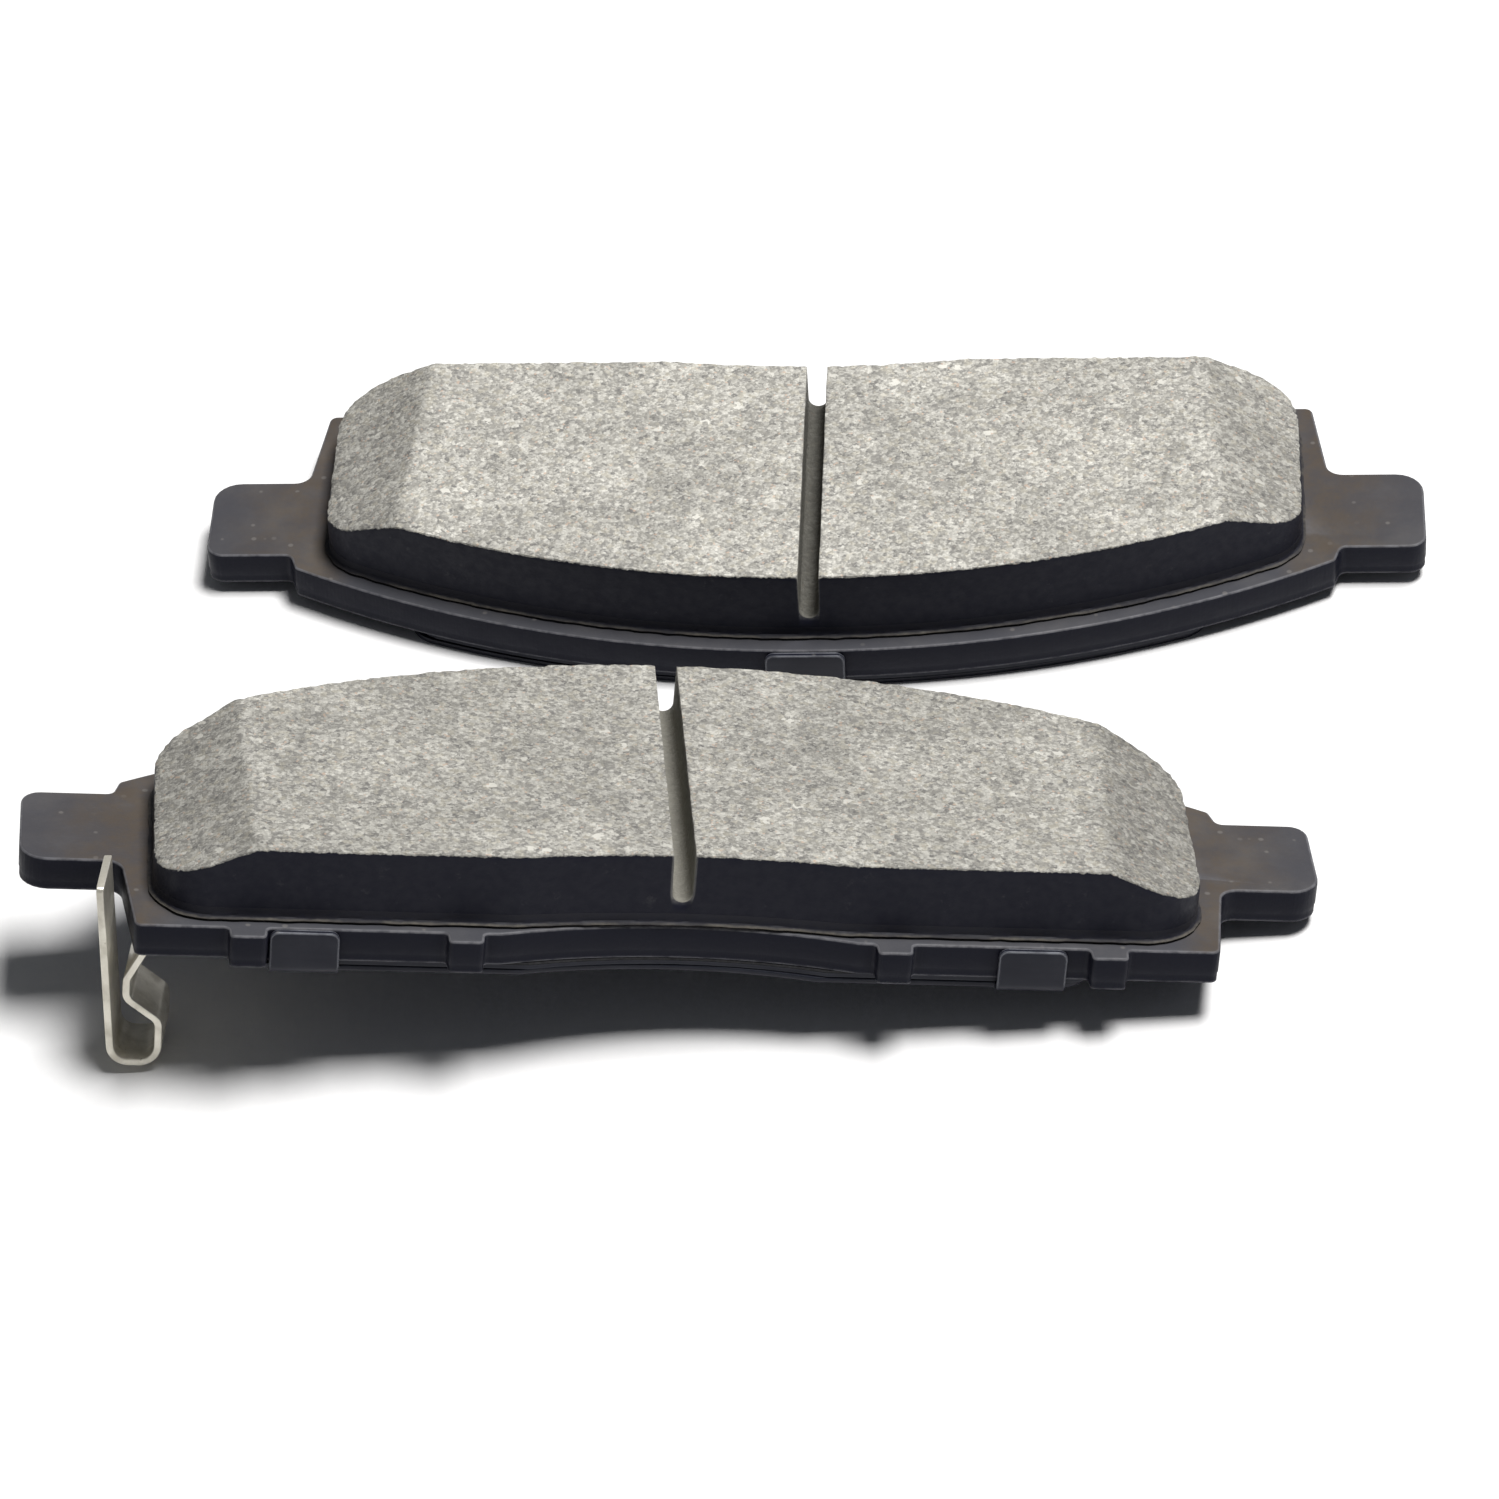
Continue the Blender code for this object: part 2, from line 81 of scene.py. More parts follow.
class Slot(Enum):
    """The record's material slots, one for each kind of piece made here."""

    PLATE = "painted_plate"
    UNDERLAYER = "underlayer"
    FRICTION = "friction"
    SHIM = "shim_steel"
    SPRING = "spring_steel"
    RIVET = "rivet_steel"


class Grounds(Enum):
    """Where a finish reads the surface's place from."""

    PAD = "pad_place"
    OBJECT = "Object"


class Kind(Enum):
    """How a group's socket carries its value."""

    NUMBER = "NodeSocketFloat"
    VECTOR = "NodeSocketVector"


# ---- Outlines ----


def arc(centre: Point, radius: float, start: float, end: float, steps: int) -> list[Point]:
    """Points along a circle.

    Args:
        centre: The circle's centre.
        radius: Its radius.
        start: The first angle, in degrees.
        end: The last angle, in degrees.
        steps: How many equal steps lie between them.

    Returns:
        The points, both ends included.
    """
    points = []
    for step in range(steps + 1):
        angle = math.radians(start + (end - start) * step / steps)
        points.append((centre[0] + radius * math.cos(angle), centre[1] + radius * math.sin(angle)))
    return points


def rounded(corners: Sequence[Corner], steps: int) -> list[Point]:
    """An open run of corners in which each corner with a radius becomes an arc.

    Args:
        corners: Each corner's x, y and radius.
        steps: Steps in each arc.

    Returns:
        The run's points.
    """
    points: list[Point] = []
    for index, (x, y, radius) in enumerate(corners):
        if radius == 0 or index in (0, len(corners) - 1):
            points.append((x, y))
            continue
        here = Vector((x, y))
        back = (Vector(corners[index - 1][:2]) - here).normalized()
        ahead = (Vector(corners[index + 1][:2]) - here).normalized()
        half = back.angle(ahead) / 2
        centre = here + (back + ahead).normalized() * (radius / math.sin(half))
        first = here + back * (radius / math.tan(half)) - centre
        turn = first.angle_signed(here + ahead * (radius / math.tan(half)) - centre)
        for step in range(steps + 1):
            spoke = first.copy()
            spoke.rotate(Matrix.Rotation(-turn * step / steps, 2))
            points.append(tuple(centre + spoke))
    return points


def mirrored_whole(half: Sequence[Point]) -> list[Point]:
    """A closed outline from its right half, which runs from the lowest point on x = 0 up to the highest."""
    return list(half) + [(-x, y) for x, y in reversed(half) if x > 1e-6]


def even_steps(outline: Sequence[Point], step: float) -> list[Point]:
    """A closed outline's points again, at equal steps along it.

    Args:
        outline: The closed outline.
        step: The wanted distance between points.

    Returns:
        The new points, which start at the first old one.
    """
    closed = np.array([*outline, outline[0]], float)
    along = np.concatenate([[0.0], np.cumsum(np.linalg.norm(np.diff(closed, axis=0), axis=1))])
    places = np.linspace(0.0, along[-1], round(along[-1] / step) + 1)[:-1]
    xs = np.interp(places, along, closed[:, 0])
    ys = np.interp(places, along, closed[:, 1])
    return list(zip(xs.tolist(), ys.tolist()))


def inset(outline: Sequence[Point], distances: float | Sequence[float]) -> list[Point]:
    """A closed anticlockwise outline moved inwards, square to its sides.

    Args:
        outline: The outline.
        distances: How far to move it, as one number or one for each point. Below zero moves outwards.

    Returns:
        The moved outline, point for point.
    """
    if isinstance(distances, (int, float)):
        distances = [distances] * len(outline)
    moved = []
    count = len(outline)
    for index, (x, y) in enumerate(outline):
        here = Vector((x, y))
        before = (here - Vector(outline[index - 1])).normalized()
        after = (Vector(outline[(index + 1) % count]) - here).normalized()
        first = Vector((-before.y, before.x))
        second = Vector((-after.y, after.x))
        middle = (first + second).normalized()
        reach = distances[index] / max(middle.dot(first), 0.5)
        moved.append(tuple(here + middle * reach))
    return moved


def circle(centre: Point, radius: float, steps: int) -> list[Point]:
    """A closed round outline."""
    return arc(centre, radius, 0.0, 360.0 - 360.0 / steps, steps - 1)


@dataclass(frozen=True)
class PadShape:
    """The sizes that both pads' sub-parts share, and the outlines that follow from them."""

    plate_arc: float = 151.0
    plate_top: float = 31.9
    plate_inner: float = -24.8
    corner_x: float = 72.8
    shoulder_x: float = 75.3
    arch_half: float = 24.0
    arch_rise: float = 2.9
    ear_end: float = 88.6
    ear_half: float = 8.7
    ear_root_x: float = 76.2
    ear_neck_x: float = 74.9
    lug_spans: tuple[Point, ...] = ((26.2, 31.3), (55.1, 60.4))
    lug_out: float = 2.3
    under_plate: float = -5.0
    friction_arc: float = 148.0
    friction_side: float = 70.6
    friction_inner: float = -23.0
    friction_arch_rise: float = 1.5
    friction_corner: float = 8.0
    friction_top: float = 11.0
    friction_base: float = 1.9
    friction_arch_half: float = 22.0
    crease_inner_x: float = 57.0
    crease_slope: float = 0.0668
    shim_end: float = 57.5
    shim_inner: float = -23.9
    shim_arc: float = 150.2
    shim_corner: float = 5.0
    shim_arch_rise: float = 2.2
    shim_arch_half: float = 20.0
    peg_places: tuple[Point, ...] = ((-46.0, 2.0), (-23.0, 4.0), (23.0, 4.0), (46.0, 2.0))
    rivet_place: Point = (-65.2, -14.85)

    @property
    def arc_centre_y(self) -> float:
        """Height of the centre that the outer arcs share."""
        return self.plate_top - self.plate_arc

    def crease_x(self, y: float) -> float:
        """Where the block's chamfer starts, at a distance across the pad."""
        return self.crease_inner_x + self.crease_slope * (y - self.friction_inner)

    def arch_run(self, inner_y: float, rise: float, half: float, steps: int) -> list[Point]:
        """The shallow arch in the middle of an inner edge.

        Args:
            inner_y: The inner edge.
            rise: How far the arch rises from it.
            half: Half the arch's width.
            steps: Steps from the middle to the arch's end.

        Returns:
            The arch's points, from x = 0 outwards.
        """
        radius = (half * half + rise * rise) / (2 * rise)
        reach = math.degrees(math.asin(half / radius))
        return arc((0.0, inner_y + rise - radius), radius, 90.0, 90.0 - reach, steps)

    def corner_under_arc(self, side_x: float, radius: float, outer: float, steps: int) -> list[Point]:
        """A rounded corner between a straight side and an outer arc, then that arc up to x = 0.

        Args:
            side_x: The straight side.
            radius: The corner's radius.
            outer: The outer arc's radius.
            steps: Steps in the corner.

        Returns:
            The points, anticlockwise.
        """
        centre_x = side_x - radius
        reach = outer - radius
        centre_y = self.arc_centre_y + math.sqrt(reach * reach - centre_x * centre_x)
        meets = math.degrees(math.atan2(centre_y - self.arc_centre_y, centre_x))
        corner = arc((centre_x, centre_y), radius, 0.0, meets, steps)
        return corner + arc((0.0, self.arc_centre_y), outer, meets, 90.0, 3 * steps)[1:]

    def plate_outline(self) -> list[Point]:
        """The backing plate seen from the friction side."""
        half = self.arch_run(self.plate_inner, self.arch_rise, self.arch_half, 12)
        corners = [(*half[-1], 0.0)]
        for low, high in self.lug_spans:
            out = self.plate_inner - self.lug_out
            corners += [(low, self.plate_inner, 0.6), (low + 0.2, out, 0.7)]
            corners += [(high - 0.2, out, 0.7), (high, self.plate_inner, 0.6)]
        corners += [
            (self.corner_x, self.plate_inner, 1.2),
            (self.ear_neck_x, -self.ear_half, 2.4),
            (self.ear_end, -self.ear_half, 4.0),
            (self.ear_end, self.ear_half, 2.6),
            (self.ear_root_x, self.ear_half, 1.2),
        ]
        shoulder = math.degrees(math.acos(self.shoulder_x / self.plate_arc))
        outer = arc((0.0, self.arc_centre_y), self.plate_arc, shoulder, 90.0, 40)
        corners += [(*outer[0], 1.0), (*outer[1], 0.0)]
        return mirrored_whole(half[:-1] + rounded(corners, 6) + outer[2:])

    def arched_outline(
        self, inner: float, rise: float, arch: float, side: float, corner: float, outer: float, steps: int
    ) -> list[Point]:
        """A rounded outline with an arch in its inner edge and an arc for its outer edge.

        Args:
            inner: The inner edge.
            rise: How far the arch rises from it.
            arch: Half the arch's width.
            side: The straight side.
            corner: The radius of all four corners.
            outer: The outer arc's radius.
            steps: Steps in each corner.

        Returns:
            The closed outline.
        """
        run = self.arch_run(inner, rise, arch, 10)
        turn = arc((side - corner, inner + corner), corner, -90.0, 0.0, steps)
        return mirrored_whole(run + turn + self.corner_under_arc(side, corner, outer, steps))

    def friction_outline(self) -> list[Point]:
        """The friction block seen from the disc."""
        inner, side, corner = self.friction_inner, self.friction_side, self.friction_corner
        rise, arch = self.friction_arch_rise, self.friction_arch_half
        return self.arched_outline(inner, rise, arch, side, corner, self.friction_arc, 14)

    def shim_outline(self) -> list[Point]:
        """The shims' outline, short of the plate's edge and of the wear indicator's foot."""
        inner, side, corner = self.shim_inner, self.shim_end, self.shim_corner
        rise, arch = self.shim_arch_rise, self.shim_arch_half
        return self.arched_outline(inner, rise, arch, side, corner, self.shim_arc, 8)


SHAPE = PadShape()


# ---- Meshes ----


def level(outline: Sequence[Point], height: float | Sequence[float]) -> list[Vector]:
    """An outline as points in space, at one height or at a height for each point."""
    if isinstance(height, (int, float)):
        height = [height] * len(outline)
    return [Vector((x, y, z)) for (x, y), z in zip(outline, height)]


def join_rings(bm: bmesh.types.BMesh, lower: list, upper: list) -> None:
    """Faces between two closed rings of vertices of the same count."""
    count = len(lower)
    for index in range(count):
        after = (index + 1) % count
        bm.faces.new((lower[index], lower[after], upper[after], upper[index]))


def loft(bm: bmesh.types.BMesh, rings: Sequence[Sequence[Vector]], capped: bool = True) -> list[list]:
    """A closed skin through rings of points.

    Args:
        bm: The mesh to add to.
        rings: The rings, in millimetres, in order and with the same count of points.
        capped: Whether both ends get a flat face.

    Returns:
        The rings' vertices.
    """
    made = [[bm.verts.new(point * MM) for point in ring] for ring in rings]
    for lower, upper in zip(made, made[1:]):
        join_rings(bm, lower, upper)
    if capped:
        bm.faces.new(list(reversed(made[0])))
        bm.faces.new(made[-1])
    return made


def turned(profile: Sequence[Point], place: Point, steps: int) -> list[list[Vector]]:
    """The rings of a turned solid: its radius and height pairs, round an axis along z."""
    return [level(circle(place, radius, steps), height) for radius, height in profile]


@dataclass(frozen=True)
class Station:
    """One cross-section of a bent strip: its middle, its two directions and its sizes."""

    middle: Vector
    across: Vector
    out: Vector
    half_width: float
    half_thick: float
    edge: float

    def ring(self) -> list[Vector]:
        """The section's points: a rectangle with rounded edges."""
        edge = min(self.edge, self.half_thick * 0.98, self.half_width * 0.98)
        points = []
        for quarter in range(4):
            sign_w = 1 if quarter in (0, 3) else -1
            sign_t = 1 if quarter in (0, 1) else -1
            centre = (sign_w * (self.half_width - edge), sign_t * (self.half_thick - edge))
            for a, b in arc(centre, edge, 90.0 * quarter, 90.0 * quarter + 90.0, 4):
                points.append(self.middle + self.across * a + self.out * b)
        return points


def headings(run: Sequence[Point]) -> list[tuple[Point, Vector]]:
    """Each point of an open run, with the run's direction there."""
    found = []
    for index, point in enumerate(run):
        before = Vector(run[max(index - 1, 0)])
        after = Vector(run[min(index + 1, len(run) - 1)])
        found.append((point, (after - before).normalized()))
    return found


def clipped(corner: float, past: float) -> float:
    """How much narrower a strip is at a distance past the start of its rounded corner."""
    past = max(0.0, past)
    return corner - math.sqrt(max(0.0, corner * corner - past * past))


def closed_mesh(bm: bmesh.types.BMesh, name: str, smooth: float) -> Mesh:
    """Turn a bmesh into a smooth shaded mesh.

    Args:
        bm: The bmesh, which is freed.
        name: The mesh's name.
        smooth: The angle, in degrees, above which an edge stays sharp.

    Returns:
        The mesh, its faces pointing out.
    """
    bmesh.ops.recalc_face_normals(bm, faces=bm.faces)
    mesh = bpy.data.meshes.new(name)
    bm.to_mesh(mesh)
    bm.free()
    mesh.shade_smooth()
    mesh.set_sharp_from_angle(angle=math.radians(smooth))
    return mesh


def solid(name: str, smooth: float, *stacks: Sequence[Sequence[Vector]]) -> Mesh:
    """A closed mesh with one capped skin through each stack of rings.

    Args:
        name: The mesh's name.
        smooth: The angle, in degrees, above which an edge stays sharp.
        stacks: Each skin's rings.

    Returns:
        The mesh.
    """
    bm = bmesh.new()
    for stack in stacks:
        loft(bm, stack)
    return closed_mesh(bm, name, smooth)


def cut(mesh: Mesh, tool: Mesh, operation: str = "DIFFERENCE") -> Mesh:
    """Cut one mesh from another, or join it on.

    Args:
        mesh: The mesh to work on, which is replaced.
        tool: The mesh to cut with or to add, which is used up.
        operation: Blender's name for what to do.

    Returns:
        The result, under the first mesh's name.
    """
    name = mesh.name
    target = bpy.data.objects.new(name, mesh)
    helper = bpy.data.objects.new(f"{name}_tool", tool)
    for made in (target, helper):
        bpy.context.scene.collection.objects.link(made)
    step = target.modifiers.new("shape", "BOOLEAN")
    step.operation = operation
    step.solver = "EXACT"
    step.object = helper
    bpy.context.view_layer.update()
    result = bpy.data.meshes.new_from_object(target.evaluated_get(bpy.context.evaluated_depsgraph_get()))
    for made in (target, helper):
        bpy.data.objects.remove(made, do_unlink=True)
    bpy.data.meshes.remove(mesh)
    bpy.data.meshes.remove(tool)
    result.name = name
    return result


def ruffle(place: Vector, size: float, seed: float) -> float:
    """Smooth noise from -1 to 1 whose lumps are about size millimetres wide."""
    return noise.noise(place / size + Vector((seed, seed * 0.37, -seed)))


# ---- Shader helpers ----


class Graph:
    """Short calls for building a node tree."""

    def __init__(self, tree: bpy.types.NodeTree) -> None:
        """Work on this tree."""
        self.tree = tree

    def node(self, kind: str, **settings: object) -> Node:
        """A new node of a kind, with its properties set."""
        made = self.tree.nodes.new(kind)
        for name, value in settings.items():
            setattr(made, name, value)
        return made

    def put(self, socket: Socket, value: Value | Sequence[float]) -> None:
        """Give an input its value: a link from another socket, or a constant."""
        if isinstance(value, Socket):
            self.tree.links.new(value, socket)
        else:
            socket.default_value = value

    def feed(self, made: Node, **given: Value | Sequence[float]) -> Node:
        """Give a node's inputs their values, named in lower case with underscores."""
        for name, value in given.items():
            self.put(made.inputs[name.replace("_", " ").title()], value)
        return made

    def maths(self, operation: str, *values: Value) -> Socket:
        """The result of a Math node."""
        made = self.node("ShaderNodeMath", operation=operation)
        for socket, value in zip(made.inputs, (*values, 0.0, 0.0)):
            self.put(socket, value)
        return made.outputs[0]

    def times(self, first: Value, *others: Value) -> Socket:
        """The product of all the values."""
        for other in others:
            first = self.maths("MULTIPLY", first, other)
        return first

    def vector(self, operation: str, first: Socket, second: Socket | Corner, out: str = "Vector") -> Socket:
        """The result of a Vector Math node."""
        made = self.node("ShaderNodeVectorMath", operation=operation)
        self.put(made.inputs[0], first)
        self.put(made.inputs[1], second)
        return made.outputs[out]

    def step(self, value: Value, low: Value, high: Value, floor: Value = 0.0, roof: Value = 1.0) -> Socket:
        """A smooth step of a value.

        Args:
            value: What is read.
            low: Where the step starts.
            high: Where it ends.
            floor: The result below low.
            roof: The result above high.

        Returns:
            The stepped value.
        """
        made = self.node("ShaderNodeMapRange", interpolation_type="SMOOTHSTEP")
        self.feed(made, value=value, from_min=low, from_max=high, to_min=floor, to_max=roof)
        return made.outputs["Result"]

    def mix(self, share: Value, first: Tint, second: Tint, blend: str = "MIX") -> Socket:
        """One colour laid over another.

        Args:
            share: How much of the second shows.
            first: The colour below.
            second: The colour above.
            blend: Blender's blend type.

        Returns:
            The mixed colour.
        """
        made = self.node("ShaderNodeMix", data_type="RGBA", blend_type=blend)
        self.put(made.inputs[0], share)
        for socket, colour in ((made.inputs[6], first), (made.inputs[7], second)):
            self.put(socket, colour if isinstance(colour, Socket) else (*colour, 1.0))
        return made.outputs[2]

    def noise(self, where: Socket, size: float, detail: float = 3.0, rough: float = 0.55) -> Socket:
        """Soft noise from 0 to 1 whose lumps are about size millimetres wide."""
        made = self.node("ShaderNodeTexNoise")
        self.feed(made, vector=where, scale=1.0 / (size * MM), detail=detail, roughness=rough)
        return made.outputs["Fac"]

    def cells(self, where: Socket, density: Value) -> Node:
        """Packed cells, each with a random colour and the distance to its middle."""
        made = self.node("ShaderNodeTexVoronoi", voronoi_dimensions="3D", feature="F1")
        return self.feed(made, vector=where, scale=density)

    def axes(self, where: Socket) -> list[Socket]:
        """The x, y and z of a vector."""
        made = self.node("ShaderNodeSeparateXYZ")
        self.put(made.inputs[0], where)
        return list(made.outputs)

    def ramp(self, value: Socket, stops: Sequence[tuple[float, Colour]], steps: bool = False) -> Socket:
        """Colours along a value.

        Args:
            value: What is read, from 0 to 1.
            stops: Each place and its colour.
            steps: Whether each colour holds until the next one, with no blending.

        Returns:
            The colour.
        """
        made = self.node("ShaderNodeValToRGB")
        made.color_ramp.interpolation = "CONSTANT" if steps else "LINEAR"
        points = made.color_ramp.elements
        while len(points) < len(stops):
            points.new(1.0)
        for point, (place, colour) in zip(points, stops):
            point.position = place
            point.color = (*colour, 1.0)
        self.put(made.inputs[0], value)
        return made.outputs["Color"]

    def group(self, tree: bpy.types.NodeTree, **given: Value) -> Node:
        """A shader group placed in this tree, with its inputs fed."""
        return self.feed(self.node("ShaderNodeGroup", node_tree=tree), **given)

    def bump(self, height: Socket, distance: float) -> Socket:
        """A normal from a height, in millimetres at height 1."""
        made = self.feed(self.node("ShaderNodeBump"), strength=1.0, distance=distance * MM, height=height)
        return made.outputs["Normal"]

    def attribute(self, name: str, output: str = "Fac") -> Socket:
        """A value stored in the mesh."""
        return self.node("ShaderNodeAttribute", attribute_name=name).outputs[output]

    def upward(self) -> Socket:
        """How much the surface faces up, from -1 to 1."""
        return self.axes(self.node("ShaderNodeNewGeometry").outputs["Normal"])[2]


class Effect(ABC):
    """A shader node group that several finishes place, built once."""

    name: str
    inputs: tuple[tuple[str, Kind], ...]
    outputs: tuple[tuple[str, Kind], ...]

    @classmethod
    def tree(cls) -> bpy.types.NodeTree:
        """The group, made the first time that it is asked for."""
        found = bpy.data.node_groups.get(cls.name)
        if found:
            return found
        made = bpy.data.node_groups.new(cls.name, "ShaderNodeTree")
        for name, kind in cls.inputs:
            made.interface.new_socket(name=name, in_out="INPUT", socket_type=kind.value)
        for name, kind in cls.outputs:
            made.interface.new_socket(name=name, in_out="OUTPUT", socket_type=kind.value)
        graph = Graph(made)
        given = graph.node("NodeGroupInput").outputs
        result = graph.node("NodeGroupOutput").inputs
        for name, value in cls.fill(graph, given).items():
            graph.put(result[name], value)
        return made

    @staticmethod
    @abstractmethod
    def fill(graph: Graph, given: bpy.types.NodeOutputs) -> dict[str, Socket]:
        """Wire the group's inside, from its given sockets to what each output shows."""


class Granules(Effect):
    """Packed grains: a random value for each grain, and the height of the surface over them."""

    name = "granules"
    inputs = (("Where", Kind.VECTOR), ("Density", Kind.NUMBER), ("Ragged", Kind.NUMBER))
    outputs = (("Value", Kind.NUMBER), ("Height", Kind.NUMBER))

    @staticmethod
    def fill(graph: Graph, given: bpy.types.NodeOutputs) -> dict[str, Socket]:
        """Wire distorted cells, whose colour gives the value and whose distance gives the height."""
        where, density = given["Where"], given["Density"]
        shake = graph.node("ShaderNodeTexNoise")
        graph.feed(shake, vector=where, scale=graph.times(density, 1.7), detail=2.0)
        centred = graph.vector("SUBTRACT", shake.outputs["Color"], (0.5, 0.5, 0.5))
        reach = graph.vector("MULTIPLY", centred, graph.maths("DIVIDE", given["Ragged"], density))
        cells = graph.cells(graph.vector("ADD", where, reach), density)
        height = graph.step(cells.outputs["Distance"], 0.0, 0.9, 1.0, 0.0)
        return {"Value": graph.axes(cells.outputs["Color"])[0], "Height": height}


class EdgeWear(Effect):
    """A mask of the edges that handling and tumbling rub bright."""

    name = "edge_wear"
    inputs = (
        ("Where", Kind.VECTOR),
        ("Radius", Kind.NUMBER),
        ("Amount", Kind.NUMBER),
        ("Breakup", Kind.NUMBER),
    )
    outputs = (("Mask", Kind.NUMBER),)

    @staticmethod
    def fill(graph: Graph, given: bpy.types.NodeOutputs) -> dict[str, Socket]:
        """Wire the turn between the surface's normal and the one rounded over the radius, broken by noise."""
        rounding = graph.feed(graph.node("ShaderNodeBevel", samples=6), radius=given["Radius"])
        plain = graph.node("ShaderNodeNewGeometry").outputs["True Normal"]
        agree = graph.vector("DOT_PRODUCT", rounding.outputs["Normal"], plain, "Value")
        turn = graph.step(agree, 0.995, 0.86)
        broken = graph.node("ShaderNodeTexNoise")
        graph.feed(broken, vector=given["Where"], scale=given["Breakup"], detail=4.0)
        spots = graph.step(broken.outputs["Fac"], 0.30, 0.56, 0.35, 1.0)
        return {"Mask": graph.times(turn, spots, given["Amount"])}


class Dust(Effect):
    """A mask of the pale dust that settles on faces turned up, in soft drifts and fine specks."""

    name = "settled_dust"
    inputs = (("Where", Kind.VECTOR), ("Amount", Kind.NUMBER), ("Speck Density", Kind.NUMBER))
    outputs = (("Mask", Kind.NUMBER), ("Specks", Kind.NUMBER))

    @staticmethod
    def fill(graph: Graph, given: bpy.types.NodeOutputs) -> dict[str, Socket]:
        """Wire drifts and specks, which both need an upward normal."""
        where, amount = given["Where"], given["Amount"]
        up = graph.step(graph.upward(), 0.25, 0.95)
        soft = graph.step(graph.noise(where, 14.0, 5.0, 0.62), 0.38, 0.78)
        cells = graph.cells(where, given["Speck Density"])
        chosen = graph.step(graph.axes(cells.outputs["Color"])[1], 0.90, 0.93)
        dot = graph.step(cells.outputs["Distance"], 0.30, 0.16)
        return {"Mask": graph.times(soft, up, amount), "Specks": graph.times(chosen, dot, up, amount)}


# ---- Finishes ----


@dataclass(frozen=True)
class Finish(ABC):
    """A finish: its sizes and colours, and the material that they make."""

    name: str
    grounds: Grounds = field(default=Grounds.PAD, kw_only=True)

    @abstractmethod
    def wire(self, graph: Graph, where: Socket) -> dict[str, Value]:
        """Wire the material.

        Args:
            graph: The material's tree.
            where: The surface's place, in metres.

        Returns:
            What each input of its Principled BSDF gets.
        """

    def material(self) -> bpy.types.Material:
        """The material, made the first time that it is asked for."""
        found = bpy.data.materials.get(self.name)
        if found:
            return found
        made = bpy.data.materials.new(self.name)
        made.use_nodes = True
        graph = Graph(made.node_tree)
        shader = made.node_tree.nodes["Principled BSDF"]
        if self.grounds is Grounds.PAD:
            where = graph.attribute(Grounds.PAD.value, "Vector")
        else:
            where = graph.node("ShaderNodeTexCoord").outputs[Grounds.OBJECT.value]
        for name, value in self.wire(graph, where).items():
            graph.put(shader.inputs[name], value)
        return made


